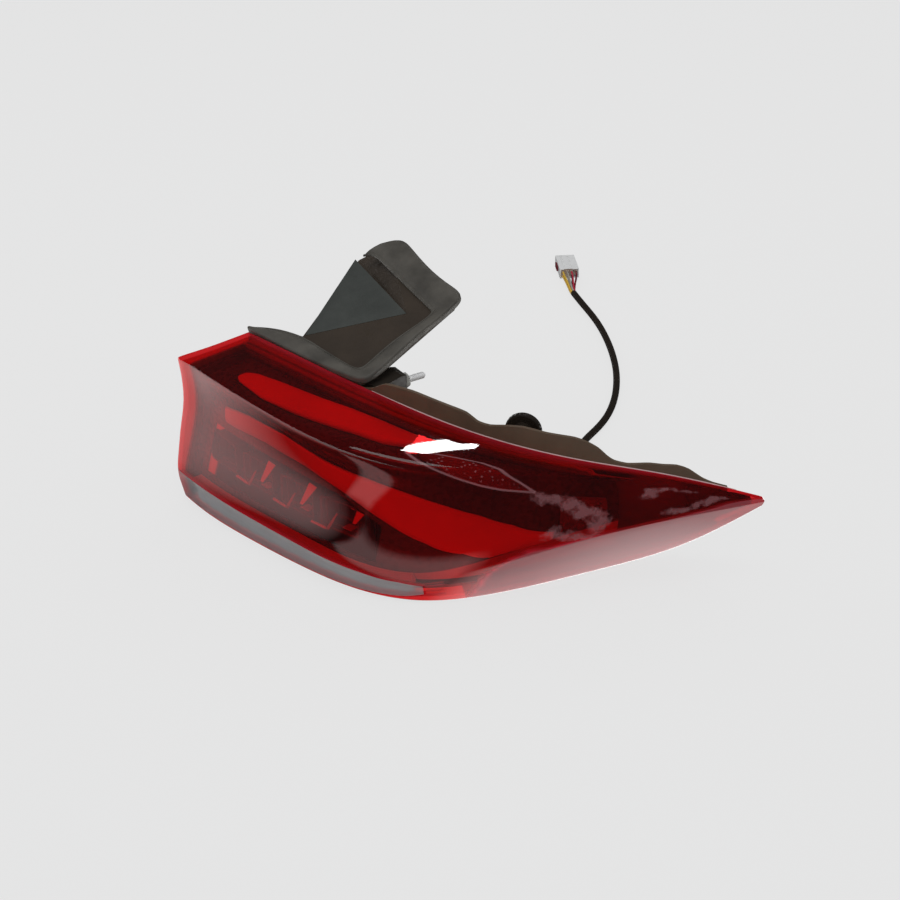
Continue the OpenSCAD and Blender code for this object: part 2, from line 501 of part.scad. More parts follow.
// Gusset that props the plate on the back of the housing, in a plane square to the rim
gus_i = 5.9;
function under_plate(x, y) = let(o = ext_o - ext_n * (ext_t + gap))
    (ext_n * o - ext_n[0] * x - ext_n[1] * y) / ext_n[2];
module extension_gusset() {
    o = rim_at(gus_i);
    n = back_dir(gus_i);
    w = house_ring(gus_i, wall_t);
    function at(u) = [u, under_plate(o[0] + n[0] * u, o[1] + n[1] * u) - 0.1];
    function wall(j) = [(w[j] - o) * n + 2 * gap, w[j][2] + 0.2];
    color([0.16, 0.13, 0.11])
    translate([o[0], o[1], 0])
    rotate([90, 0, atan2(n[1], n[0])])
    linear_extrude(3, center = true)
    polygon([at(wall(1)[0]), wall(2), mix(wall(2), wall(3), 0.9), mix(wall(2), wall(3), 0.9) + [3, 0],
        at(70) - [0, 4], at(70)]);
}

// Upper fixing: black bracket on the housing wall, hex nut and threaded stud
stud_x = 130 * sx;
stud_z = 131 * sz;
stud_y = 153 * sy;
module upper_bracket() {
    color([0.06, 0.06, 0.06])
    intersection() {
        wall_pad(6.42, 6.8, stud_z - 10, stud_z + 13, stud_x - 10, stud_x + 9, stud_y);
        rotate([90, 0, 90])
        linear_extrude(400)
        polygon([[90, stud_z - 10], [stud_y + 5, stud_z - 8], [stud_y + 5, stud_z + 8],
            [stud_y - 5, stud_z + 11], [117 * sy, under_plate(stud_x + 10, 113 * sy) - 0.3],
            [90, stud_z - 3]]);
    }
}
// A rolled thread stands proud of the plain shank by about a third of its pitch
shank_r = stud_dia / 2 - 0.33;
module nut(h) {
    difference() {
        rotate([-90, 0, 0])
        cylinder(h = h, d = nut_af / cos(30), $fn = 6);
        translate([0, -1, 0])
        rotate([-90, 0, 0])
        cylinder(h = h + 2, r = shank_r + gap, $fn = 48);
    }
}
module stud() {
    rotate([-90, 0, 0])
    rotate_extrude($fn = 48)
    polygon([[0, 0], [shank_r, 0], [shank_r, nut_h + gap], [stud_dia / 2, nut_h + gap],
        [stud_dia / 2, nut_h + stud_len - 2], [stud_dia / 2 - 1.2, nut_h + stud_len],
            [0, nut_h + stud_len]]);
}
module upper_nut() {
    color([0.35, 0.35, 0.35])
    translate([stud_x, stud_y + gap, stud_z])
    nut(nut_h);
}
module upper_stud() {
    color([0.75, 0.75, 0.75])
    translate([stud_x, stud_y + gap, stud_z])
    stud();
}
low_x = 60 * sx;
low_z = 42 * sz;
low_y = 124 * sy;
module lower_bracket() {
    color([0.06, 0.06, 0.06])
    wall_pad(5.05, 5.55, low_z - 11, low_z + 11, low_x - 11, low_x + 11, low_y);
}
module lower_nut() {
    color([0.35, 0.35, 0.35])
    translate([low_x, low_y + gap, low_z])
    nut(nut_h);
}
module lower_stud() {
    color([0.75, 0.75, 0.75])
    translate([low_x, low_y + gap, low_z])
    stud();
}
pin_p = [287 * sx, 270 * sy, 62 * sz];
module pin_seat() {
    color([0.16, 0.13, 0.11])
    wall_pad(10.3, 10.86, pin_p[2] - 10, pin_p[2] + 10, pin_p[0] - 10, pin_p[0] + 9, pin_p[1] - gap);
}
module locating_pin() {
    color([0.75, 0.73, 0.68])
    translate(pin_p)
    rotate([-90, 0, 0])
    rotate_extrude($fn = 64)
    polygon([[0, 0], [9, 0], [9, 3], [pin_dia / 2, 3], [pin_dia / 2, pin_len],
        [pin_dia / 2 - 2.4, 3 + pin_len], [0, 3 + pin_len]]);
}

// Round service cap on the back of the housing
cap_i = 9.03;
cap_z = 124.5 * sz;
cap_n = back_dir(cap_i);
cap_c = stand(cap_i, cap_z, 10, cap_n);
module facing(p, n) {
    translate(p)
    rotate([0, 0, atan2(n[1], n[0]) - 90])
    rotate([-90, 0, 0])
    children();
}
module service_cap() {
    color([0.05, 0.05, 0.05])
    facing(cap_c, cap_n)
    rotate_extrude($fn = 72)
    polygon([[0, 0], [9, 0], [9, 16], [cap_dia / 2 - 1, 16], [cap_dia / 2, 17], [cap_dia / 2, 21],
        [cap_dia / 2 - 2, 22.5], [8, 23], [7, 26], [0, 26]]);
}

// Harness: grommet, sheathed cable down to the floor and along it, wires and connector
exit_i = 9.7;
exit_n = back_dir(exit_i);
exit_p = stand(exit_i, 52 * sz, 13, exit_n);
module harness_grommet() {
    color([0.05, 0.05, 0.05])
    facing(exit_p, exit_n)
    rotate_extrude($fn = 64)
    polygon([[0, 0], [13, 0], [13, 3], [8, 5], [6, 14], [0, 14]]);
}
floor_z = cable_dia / 2;
cable_ctrl = [exit_p + exit_n * (14 + gap), exit_p + exit_n * 24, exit_p + exit_n * 40 + [0, 0, -8],
    exit_p + exit_n * 52 + [0, 0, -34], [210, 282, floor_z + 1], [185, 303, floor_z], [150, 328, floor_z],
    [122, 350, floor_z], [108, 382, floor_z], [90, 410, floor_z], [63, 438, floor_z], [31, 463, floor_z],
    [4, 480, floor_z], [-25, 495.6, floor_z], [-57, 510, floor_z], [-87, 520.6, floor_z],
    [-117, 528.4, floor_z], [-142.6, 536, floor_z]];
cable_pad = padded(cable_ctrl);
function circle_at(p, t, r, n) = let(u = unit(cross(t, [0, 0, 1]) + [e / 10, 0, 0]), v = cross(u, t))
    [for (j = [0 : n - 1]) p + r * (u * cos(360 * j / n) + v * sin(360 * j / n))];
function tube_rings(pad, ss, r, n) = [for (s = ss)
    let(t = unit(spline(pad, min(s + 0.05, len(pad) - 3)) - spline(pad, max(s - 0.05, 0))))
    circle_at(spline(pad, s), t, r, n)];
module harness_cable() {
    color([0.04, 0.04, 0.04])
    tube(tube_rings(cable_pad, ramp(0, 17, 50), cable_dia / 2, 10));
}
conn_c = [-181, 558, 0];
conn_yaw = 63;
conn = [20.5, 36, 10.5];
sheath_end = cable_ctrl[17];
function wire_col(i) = [(i % 4 - 1.5) * 4.6, i < 4 ? 2.9 : 7.3];
// Seven wires ring the eighth in the sheath, in the order in which they fan out to the plug's two rows
wire_ring = [2, 3, 0, 4, 1, 0, 6, 5];
function wire_path(i) = let(c = wire_col(i), d = unit(cable_ctrl[17] - cable_ctrl[16]), u = cross(d, [0, 0, 1]),
    r = i == 2 ? 0 : (wire_dia + 0.08) / 2 / sin(180 / 7), g = 90 + wire_ring[i] * 360 / 7,
    p0 = sheath_end + d * gap + u * r * cos(g) + [0, 0, r * sin(g)], b = conn_in(c[0], 0, c[1]))
    [p0, p0 + d * 5, mix(p0 + d * 6, conn_in(c[0], -8, c[1]), 0.5) + [0, 0, 1.5], conn_in(c[0], -7, c[1]), b];
function conn_in(x, y, z) = conn_c + [cos(conn_yaw) * x - sin(conn_yaw) * y,
    sin(conn_yaw) * x + cos(conn_yaw) * y, z];
module harness_wires() {
    color([0.8, 0.65, 0.1])
    for (i = [0 : 7])
        tube(tube_rings(padded(wire_path(i)), ramp(0, 4, 10), wire_dia / 2, 6));
}
module connector() {
    color([0.93, 0.93, 0.92])
    translate(conn_c)
    rotate([0, 0, conn_yaw])
    difference() {
        translate([-conn[0] / 2, gap, 0.2])
        cube(conn);
        for (x = [-4.8, 2.4])
            translate([x - 0.7, 7, conn[2] - 0.6])
            cube([1.4, 26, 2]);
        for (k = [0 : 3])
            for (z = [1.3, 5.8])
                translate([(k - 1.5) * 4.6 - 1.5, conn[1] - 5, z])
                cube([3, 10, 3]);
    }
}
module connector_lock() {
    color([0.4, 0.05, 0.05])
    translate(conn_c)
    rotate([0, 0, conn_yaw])
    translate([-conn[0] / 2 - gap - 1.6, 12, 3])
    cube([1.6, 12, 5.5]);
}

translate(origin_shift) {
    lens_red();
    lens_clear();
    housing();
    bezel();
    upper_light_bar();
    lower_light_bar();
    upper_circuit();
    lower_circuit();
    strip_guide();
    side_reflex();
    side_prism();
    cup_1();
    cup_2();
    cup_3();
    cup_4();
    board_1();
    board_2();
    board_3();
    board_4();
    led_1();
    led_2();
    led_3();
    led_4();
    led_carrier();
    driver_box();
    side_extension();
    extension_lip();
    extension_gusset();
    upper_bracket();
    upper_nut();
    upper_stud();
    lower_bracket();
    lower_nut();
    lower_stud();
    pin_seat();
    locating_pin();
    service_cap();
    harness_grommet();
    harness_cable();
    harness_wires();
    connector();
    connector_lock();
}
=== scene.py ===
"""Looks of a wrap-around tail light cluster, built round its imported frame."""

import math

import bmesh
import bpy
import numpy as np
from mathutils import Matrix, Vector


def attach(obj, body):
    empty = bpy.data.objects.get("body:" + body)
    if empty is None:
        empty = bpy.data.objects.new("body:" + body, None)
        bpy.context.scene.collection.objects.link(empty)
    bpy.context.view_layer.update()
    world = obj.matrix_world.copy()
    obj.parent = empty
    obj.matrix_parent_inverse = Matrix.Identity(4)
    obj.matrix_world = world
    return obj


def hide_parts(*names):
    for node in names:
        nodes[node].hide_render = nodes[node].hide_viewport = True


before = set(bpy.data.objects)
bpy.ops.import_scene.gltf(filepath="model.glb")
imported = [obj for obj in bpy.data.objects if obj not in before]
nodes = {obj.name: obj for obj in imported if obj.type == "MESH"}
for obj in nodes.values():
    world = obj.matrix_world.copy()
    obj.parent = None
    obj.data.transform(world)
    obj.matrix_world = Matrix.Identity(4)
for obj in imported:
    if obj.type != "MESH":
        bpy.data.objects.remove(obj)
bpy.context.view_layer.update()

# The lamp's own sizes, in millimetres, as the solids have them
LENS_T = 2.6
WALL_T = 3.0
BEZEL_T = 1.8
BEZEL_D = 13.2
GAP = 0.2
BAR_T = 4.6
DEEP = 20.0
ORIGIN = np.array([170.91, 177.04, 0.0])
CABLE_R = 3.3
WIRE_R = 0.95
CUP = (41.0, 30.0)

# Character lines of the skin, from the inboard end round the corner to the forward tip
RIM = [(0, 76, 144), (45, 84, 146), (100, 98, 144), (160, 120, 138), (215, 145, 131),
       (262, 180, 122), (300, 222, 113), (325, 266, 103), (347, 308, 90), (372, 350, 75)]
SHOULDER = [(0, 9, 138), (45, 12, 139), (100, 18, 140), (160, 28, 140), (215, 50, 137),
            (262, 98, 128), (292, 160, 116), (318, 222, 104), (342, 286, 91), (374, 352, 74)]
WAIST = [(0, 16, 98), (45, 19, 98), (100, 26, 98), (160, 38, 98), (215, 56, 97),
         (266, 98, 92), (296, 160, 84), (321, 225, 78), (344, 288, 74), (374, 353, 72)]
BELT = [(0, -3, 30), (45, -1, 31), (100, 7, 32), (160, 20, 33), (215, 38, 28),
        (266, 86, 18), (296, 160, 38), (319, 225, 50), (343, 292, 58), (375, 354, 70)]
SILL = [(0, 4, 0), (45, 6, 0), (100, 18, 0), (160, 34, 0), (215, 53, 0),
        (265, 90, 0), (287, 160, 0), (302, 232, 3), (326, 310, 11), (372, 354, 64)]
KEEL = [(0, 92, 0), (4, 93, 0), (45, 100, 0), (100, 112, 0), (155, 132, 0), (205, 154, 0),
        (240, 178, 0), (262, 212, 2), (288, 256, 8), (318, 316, 18), (366, 350, 66)]
SHOULDER_R = [3, 3, 4, 10, 22, 30, 30, 30, 24, 8]
BELT_R = [22, 22, 22, 20, 14, 8, 6, 5, 5, 4]
SILL_R = [4] * 9 + [2]
LIP_W = [20] * 8 + [12, 2]
LINES = np.array([RIM, SHOULDER, WAIST, BELT, SILL], float)


def place(points):
    """Design millimetres to the row frame's metres."""
    return (np.asarray(points, float) - ORIGIN) / 1000


def unit(v):
    """A vector, or each of an array of vectors, at length one."""
    v = np.asarray(v, float)
    return v / np.maximum(np.linalg.norm(v, axis=-1, keepdims=True), 1e-9)


def step(a, i):
    return a[min(i + 1, len(a) - 1)] - a[max(i - 1, 0)]


def table(rows, x):
    return np.interp(x, [r[0] for r in rows], [r[1] for r in rows])


def spline(control, s):
    """Cubic B-spline along axis 0 that passes through both end points."""
    c = np.asarray(control, float)
    n = len(c)
    p = np.concatenate([[2 * c[0] - c[1]], c, [2 * c[-1] - c[-2]]])
    s = np.clip(np.asarray(s, float), 0, n - 1)
    i = np.minimum(s.astype(int), n - 2)
    f = s - i
    weights = ((1 - f) ** 3 / 6, (3 * f**3 - 6 * f**2 + 4) / 6,
               (-3 * f**3 + 3 * f**2 + 3 * f + 1) / 6, f**3 / 6)
    shape = f.shape + (1,) * (c.ndim - 1)
    return sum(w.reshape(shape) * p[i + k] for k, w in enumerate(weights))


def skin_normal(k, r):
    down = LINES[min(r + 1, 4)][k] - LINES[max(r - 1, 0)][k]
    return unit(np.cross(down, step(LINES[r], k)))


def bend(k, r):
    a = unit(LINES[r - 1][k] - LINES[r][k])
    b = unit(LINES[r + 1][k] - LINES[r][k])
    return 1 / max(0.6, math.sin(math.acos(max(-1, min(1, float(a @ b)))) / 2))


def inset(k, r, d):
    """Point of a character line at one station, moved a depth into the lamp."""
    if r == 0:
        t = step(LINES[0], k)
        return LINES[0][k] - d * unit(np.cross(t, unit([-t[1], t[0], 0])))
    if r == 4:
        return LINES[4][k] - 1.4 * d * unit(skin_normal(k, 4) + [0, 0, -1])
    return LINES[r][k] - d * bend(k, r) * skin_normal(k, r)


def toward(a, b, s):
    return a + unit(b - a) * min(s, 0.45 * float(np.linalg.norm(b - a)))


def ring(k, d):
    """Eleven points of one station, from the top rim to the sill, with tight rows at the creases."""
    t, c, w, l, b = (inset(k, r, d) for r in range(5))
    cs, ls = max(SHOULDER_R[k], d), max(BELT_R[k], d / 2)
    return [t, (t + c) / 2, toward(c, t, cs), c, toward(c, w, cs), w,
            toward(l, w, ls), l, toward(l, b, ls), toward(b, l, SILL_R[k]), b]


NET_SKIN = np.array([ring(k, 0) for k in range(10)])
NET_DEEP = np.array([ring(k, DEEP) for k in range(10)])


def sheet_at(stations, rows, depths):
    """Grid of points under the skin: one list of rows and depths for each station."""
    a, b = spline(NET_SKIN, stations), spline(NET_DEEP, stations)
    out = []
    for i in range(len(stations)):
        f = (np.asarray(depths[i], float) / DEEP)[:, None]
        out.append(spline(a[i], rows[i]) * (1 - f) + spline(b[i], rows[i]) * f)
    return np.array(out)


def mouth_y(z):
    return 30 + 47 * z / 144


def inward(k):
    t = unit(step(LINES[4], k) * [1, 1, 0])
    return np.array([-t[1], t[0], 0])


def lens_ring(k, d):
    """One station of the lens: the skin's points, then round the sill to the underside lip."""
    q = ring(k, d)
    u = np.array([12, 24, d], float) if k == 0 else LINES[4][k] + inward(k) * LIP_W[k] + [0, 0, d]
    return q + [toward(q[10], u, SILL_R[k]), u]


def lens_net(d):
    """The skin's net with the inboard end wall before station 0 and the underside lip after the sill."""
    first = lens_ring(0, d)
    end = [np.array([d, p[1], p[2]]) for p in first[:11]] + [np.array([3 + d, 8, d]), first[12]]
    wall = [np.array([p[0], mouth_y(p[2] if j < 10 else 0), p[2]]) for j, p in enumerate(end)]
    after = lens_ring(1, d)
    return np.array([wall, [(a + b) / 2 for a, b in zip(end, wall)],
                     [toward(a, b, 4) for a, b in zip(end, wall)], end,
                     [toward(a, b, 4) for a, b in zip(end, after)]]
                    + [lens_ring(k, d) for k in range(1, 10)])


LENS_OUT, LENS_IN = lens_net(0), lens_net(LENS_T)


def lens_sheet(net, stations, rows):
    cols = spline(net, stations)
    return np.array([spline(cols[i], rows[i]) for i in range(len(stations))])


def ramp(a, b, n):
    return np.linspace(a, b, n + 1)


def finer(values, n):
    """Each span of a list of values cut into n."""
    out = [np.linspace(a, b, n, endpoint=False) for a, b in zip(values[:-1], values[1:])]
    return np.concatenate(out + [[values[-1]]])


def add_object(name, data):
    obj = bpy.data.objects.new(name, data)
    bpy.context.scene.collection.objects.link(obj)
    return obj


def mesh_object(name, verts, faces, material, smooth=40.0, attributes=None):
    """A mesh in the row frame, smooth below an angle, fixed to the lamp."""
    mesh = bpy.data.meshes.new(name)
    mesh.from_pydata([tuple(v) for v in verts], [], [tuple(int(i) for i in f) for f in faces])
    for key, values in (attributes or {}).items():
        layer = mesh.attributes.new(key, "FLOAT", "POINT")
        layer.data.foreach_set("value", np.asarray(values, np.float32))
    mesh.polygons.foreach_set("use_smooth", [True] * len(mesh.polygons))
    mesh.materials.append(material)
    obj = add_object(name, mesh)
    clean = bmesh.new()
    clean.from_mesh(mesh)
    bmesh.ops.remove_doubles(clean, verts=clean.verts, dist=1e-7)
    bmesh.ops.recalc_face_normals(clean, faces=clean.faces)
    clean.to_mesh(mesh)
    clean.free()
    mesh.set_sharp_from_angle(angle=math.radians(smooth))
    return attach(obj, "root")


def shell(name, outer, inner, material, skip=(), attributes=None, smooth=40.0):
    """Closed shell between two grids of points, with cell ranges left open as windows."""
    n, m = outer.shape[:2]
    on = np.ones((n - 1, m - 1), bool)
    for i0, i1, j0, j1 in skip:
        on[i0:i1, j0:j1] = False

    def is_on(i, j):
        return 0 <= i < n - 1 and 0 <= j < m - 1 and on[i, j]

    w = n * m
    faces = []
    for i, j in zip(*np.nonzero(on)):
        a = i * m + j
        b, d = a + m, a + 1
        c = b + 1
        faces.append((a, b, c, d))
        faces.append((w + a, w + d, w + c, w + b))
        if not is_on(i, j - 1):
            faces.append((b, a, w + a, w + b))
        if not is_on(i + 1, j):
            faces.append((c, b, w + b, w + c))
        if not is_on(i, j + 1):
            faces.append((d, c, w + c, w + d))
        if not is_on(i - 1, j):
            faces.append((a, d, w + d, w + a))
    points = np.concatenate([outer.reshape(-1, 3), inner.reshape(-1, 3)])
    used = np.unique(np.array([k for f in faces for k in f]))
    renumber = np.full(2 * w, -1)
    renumber[used] = np.arange(len(used))
    kept = {k: np.asarray(v).reshape(-1)[used] for k, v in (attributes or {}).items()}
    faces = [tuple(renumber[list(f)]) for f in faces]
    return mesh_object(name, place(points[used]), faces, material, smooth=smooth, attributes=kept)


# Materials
def nodes_of(name):
    material = bpy.data.materials.new(name)
    material.use_nodes = True
    material.node_tree.nodes.clear()
    return material, material.node_tree


def node(tree, kind, inputs, **settings):
    """Outputs of a new shader node. An input takes a number, a colour or another node's output."""
    made = tree.nodes.new("ShaderNode" + kind)
    for key, value in settings.items():
        setattr(made, key, value)
    for key, value in inputs.items():
        if isinstance(value, bpy.types.NodeSocket):
            tree.links.new(value, made.inputs[key])
        else:
            made.inputs[key].default_value = (*value, 1) if isinstance(value, tuple) else value
    return made.outputs


def finished(material, tree, surface):
    node(tree, "OutputMaterial", {"Surface": surface})
    return material


def own_place(tree):
    return node(tree, "TexCoord", {})["Object"]


def noise(tree, scale, detail=3.0, rough=0.5):
    """Noise in the piece's own coordinates; scale is in cells for each metre."""
    inputs = {"Vector": own_place(tree), "Scale": scale, "Detail": detail, "Roughness": rough}
    return node(tree, "TexNoise", inputs)["Fac"]


def span(tree, value, low, high, start=0.3, end=0.7):
    """A value from start to end spread over low to high."""
    inputs = {"Value": value, "From Min": start, "From Max": end, "To Min": low, "To Max": high}
    return node(tree, "MapRange", inputs)["Result"]


def maths(tree, operation, a, b=0):
    return node(tree, "Math", {0: a, 1: b}, operation=operation)[0]


def plus(tree, a, b):
    return maths(tree, "ADD", a, b)


def times(tree, a, b):
    return maths(tree, "MULTIPLY", a, b)


def blend_colour(tree, fac, a, b):
    return node(tree, "Mix", {0: fac, 6: a, 7: b}, data_type="RGBA")[2]


def mix_shaders(tree, fac, a, b):
    return node(tree, "MixShader", {0: fac, 1: a, 2: b})[0]


def diffuse(tree, colour):
    return node(tree, "BsdfDiffuse", {"Color": colour})[0]


def attribute(tree, name):
    return node(tree, "Attribute", {}, attribute_name=name)["Fac"]


def grained(tree, scale, strength, depth):
    """Normal of a fine grain; scale is in cells for each metre, depth in metres."""
    inputs = {"Strength": strength, "Distance": depth, "Height": noise(tree, scale, 2)}
    return node(tree, "Bump", inputs)["Normal"]


def shade(colour, by):
    return tuple(min(1.0, max(0.0, c * by)) for c in colour)


def moulded(tree, colour, rough, normal, metallic=0.0):
    inputs = {"Base Color": colour, "Metallic": metallic, "Roughness": rough, "Normal": normal}
    return node(tree, "BsdfPrincipled", inputs)[0]


def patches(tree, scale, colour, vary):
    """Slow variation of a colour, up and down by a share."""
    slow = span(tree, noise(tree, scale, 4), 0, 1)
    return blend_colour(tree, slow, shade(colour, 1 - vary), shade(colour, 1 + vary))


def plastic(name, colour, rough, grain=900.0, grain_depth=0.00006, strength=0.25, vary=0.12,
            metallic=0.0):
    """Moulded surface: slow colour variation, uneven gloss and a fine grain."""
    material, tree = nodes_of(name)
    gloss = span(tree, noise(tree, 200, 5), rough * 0.82, rough * 1.18)
    normal = grained(tree, grain, strength, grain_depth)
    return finished(material, tree, moulded(tree, patches(tree, 40, colour, vary), gloss, normal, metallic))


def lit_plastic(name, dark, bright, rough):
    """Moulded surface that brightens where its lit attribute says."""
    material, tree = nodes_of(name)
    colour = blend_colour(tree, attribute(tree, "lit"), patches(tree, 60, dark, 0.15), bright)
    gloss = span(tree, noise(tree, 250, 4), rough * 0.8, rough * 1.2)
    return finished(material, tree, moulded(tree, colour, gloss, grained(tree, 300, 0.1, 0.00005)))


def bezel_paint():
    """Dark gloss on the floor and the steps, lighter red on the foot, and painted light on the border through
    its lit attribute.
    """
    material, tree = nodes_of("bezel_paint")
    slow = span(tree, noise(tree, 30, 4), 0, 1)
    floor = blend_colour(tree, slow, (0.045, 0.012, 0.012), (0.075, 0.02, 0.018))
    border = blend_colour(tree, attribute(tree, "lit"), floor, (0.45, 0.075, 0.085))
    colour = blend_colour(tree, attribute(tree, "foot"), border, (0.7, 0.3, 0.3))
    gloss = span(tree, noise(tree, 200, 4), 0.22, 0.34)
    return finished(material, tree, moulded(tree, colour, gloss, grained(tree, 500, 0.12, 0.00004)))


# Gloss of a clear wall: its roughness, and what it reflects face on and at grazing angles
LENS_ROUGH = 0.02
REFLECT = (0.045, 0.95)
# Colours of painted reflection on the lens: on the skirt, and in patches and the leaf's highlights
SKIRT_PAINTED_REFLECTION = (0.45, 0.12, 0.14)
PAINTED_SHINE = (0.55, 0.24, 0.26)


def lens_paint(tree, inside, own):
    """Painted light on the lens: painted reflection on the skirt under the belt crease, a painted highlight line
    along it, patches of painted reflection, and the leaf reflex's outline and dots as painted highlights.
    """
    painted_shine = diffuse(tree, PAINTED_SHINE)
    # skirt: painted reflection below the belt crease
    skirt = span(tree, attribute(tree, "skirt"), 0, 0.5, -0.5, 0.7)
    inside = mix_shaders(tree, skirt, inside, diffuse(tree, SKIRT_PAINTED_REFLECTION))
    # painted highlight line along the belt crease, in the lens's own lit colour
    inside = mix_shaders(tree, attribute(tree, "belt"), inside, own)
    # patches of painted reflection, broken up by noise
    cloud = plus(tree, noise(tree, 110, 5, 0.6), times(tree, attribute(tree, "reflection_patch"), 0.5))
    inside = mix_shaders(tree, span(tree, cloud, 0, 0.33, 0.8, 0.98), inside, painted_shine)
    # leaf outline and dots: painted highlights of the reflex's rim and prisms, drawn on the lens
    leaf = attribute(tree, "leaf")
    outline = span(tree, maths(tree, "ABSOLUTE", leaf), 0.34, 0, 0.35, 0.8)
    inside = mix_shaders(tree, outline, inside, painted_shine)
    cells = node(tree, "TexVoronoi", {"Vector": own_place(tree), "Scale": 260, "Randomness": 0.35})
    dots = times(tree, span(tree, cells["Distance"], 0.3, 0, 0.12, 0.3), span(tree, leaf, 0, 1, 0.8, 1.6))
    return mix_shaders(tree, dots, inside, painted_shine)


def clear_plastic(name, tint, body, body_share, edge_share, paint=None):
    """Thin clear wall: tinted see-through, a little of its own colour, more at its edges as painted glow, and
    gloss that rises towards grazing angles, the same from both sides."""
    material, tree = nodes_of(name)
    faint = span(tree, noise(tree, 14, 3), 0, 1)
    through = node(tree, "BsdfTransparent", {"Color": blend_colour(tree, faint, shade(tint, 0.96), tint)})[0]
    own = diffuse(tree, body)
    glow = node(tree, "BsdfTranslucent", {"Color": body})[0]
    # the edge attribute is painted glow: more of the lit own colour where the edges would glow
    share = span(tree, attribute(tree, "edge"), body_share, edge_share, 0, 1)
    inside = mix_shaders(tree, share, through, mix_shaders(tree, 0.6, own, glow))
    if paint:
        inside = paint(tree, inside, own)
    gloss = node(tree, "BsdfGlossy", {"Roughness": LENS_ROUGH, "Color": (1, 1, 1)})[0]
    facing = node(tree, "LayerWeight", {"Blend": 0.5})["Facing"]
    mirror = span(tree, maths(tree, "POWER", facing, 5), *REFLECT, 0, 1)
    return finished(material, tree, mix_shaders(tree, mirror, inside, gloss))


RED_TINT = (0.93, 0.16, 0.17)
RED_BODY = (0.85, 0.03, 0.06)
red_lens = clear_plastic("red_lens", RED_TINT, RED_BODY, 0.015, 0.75, lens_paint)
clear_lens = clear_plastic("clear_lens", (0.95, 0.96, 0.96), (0.85, 0.86, 0.87), 0.36, 0.5)
housing_brown = plastic("housing_brown", (0.13, 0.083, 0.05), 0.55, 1400, 0.00008, 0.35)
extension_brown = plastic("extension_brown", (0.05, 0.034, 0.021), 0.62, 1600, 0.00005, 0.3)
bracket_black = plastic("bracket_black", (0.03, 0.023, 0.016), 0.5, 1200, 0.00006, 0.3)
lip_rubber = plastic("lip_rubber", (0.098, 0.09, 0.076), 0.5, 700, 0.00008, 0.3, 0.3)
cap_black = plastic("cap_black", (0.022, 0.016, 0.012), 0.25, 900, 0.00002, 0.15)
grommet_rubber = plastic("grommet_rubber", (0.014, 0.014, 0.014), 0.5, 900, 0.00006, 0.3)
sheath_black = plastic("sheath_black", (0.02, 0.014, 0.01), 0.16, 300, 0.00002, 0.05)
# dark colour of a sheet that stands in for shade inside the tip
tip_painted_shade = plastic("tip_painted_shade", (0.10, 0.018, 0.018), 0.28, 500, 0.00004, 0.15)
guide_red = plastic("guide_red", (0.86, 0.07, 0.065), 0.4, 260, 0.0001, 0.1, 0.03)
strip_grey = plastic("strip_grey", (0.74, 0.72, 0.71), 0.3, 400, 0.00005, 0.15)
reflex_red = plastic("reflex_red", (0.22, 0.05, 0.05), 0.2, 400, 0.00005, 0.15)
crystal = plastic("crystal", (0.16, 0.05, 0.05), 0.12, 300, 0.0001, 0.2, 0.2)
mirror_red = lit_plastic("mirror_red_lit", (0.12, 0.025, 0.03), (1.0, 0.3, 0.34), 0.22)
board_green = plastic("board_green", (0.03, 0.13, 0.06), 0.35, 600, 0.00005, 0.3, 0.2)
phosphor = plastic("phosphor", (0.85, 0.7, 0.25), 0.5, 900, 0.00002, 0.2)
carrier_black = plastic("carrier_black", (0.03, 0.03, 0.03), 0.5, 900, 0.00005, 0.3)
cast_grey = plastic("cast_grey", (0.35, 0.35, 0.37), 0.5, 500, 0.0001, 0.5, 0.1, 0.9)
nut_steel = plastic("nut_steel", (0.56, 0.56, 0.52), 0.35, 700, 0.00004, 0.2, 0.15, 0.35)
stud_steel = plastic("stud_steel", (1.0, 1.0, 1.0), 0.35, 500, 0.00003, 0.2, 0.0, 0.0)
pin_nylon = plastic("pin_nylon", (0.5, 0.47, 0.4), 0.45, 900, 0.00004, 0.2)
connector_white = plastic("connector_white", (0.88, 0.88, 0.87), 0.3, 900, 0.00002, 0.15, 0.03)
lock_red = plastic("lock_red", (0.2, 0.02, 0.03), 0.35)
seal_beige = plastic("seal_beige", (0.62, 0.5, 0.42), 0.5, 900, 0.00003, 0.2)
# pale tube colour: painted highlight along the lens rim
rim_painted_highlight = plastic("rim_painted_highlight", (0.75, 0.5, 0.5), 0.25, 500, 0.00003, 0.2)
# blue-grey painted reflection of the extension's facet
facet_painted_reflection = plastic("facet_painted_reflection", (0.058, 0.064, 0.058), 0.55, 1600, 0.00005, 0.3)


# Lens and clear strip
STRIP = (3.4, 9.0)
STRIP_ROWS = [(3, 7.1, 9.4), (8.2, 7.05, 9.3), (8.7, 7.25, 9), (9, 7.7, 8.6)]


def strip_top(i):
    return table([(r[0], r[1]) for r in STRIP_ROWS], i)


def strip_low(i):
    return table([(r[0], r[2]) for r in STRIP_ROWS], i)


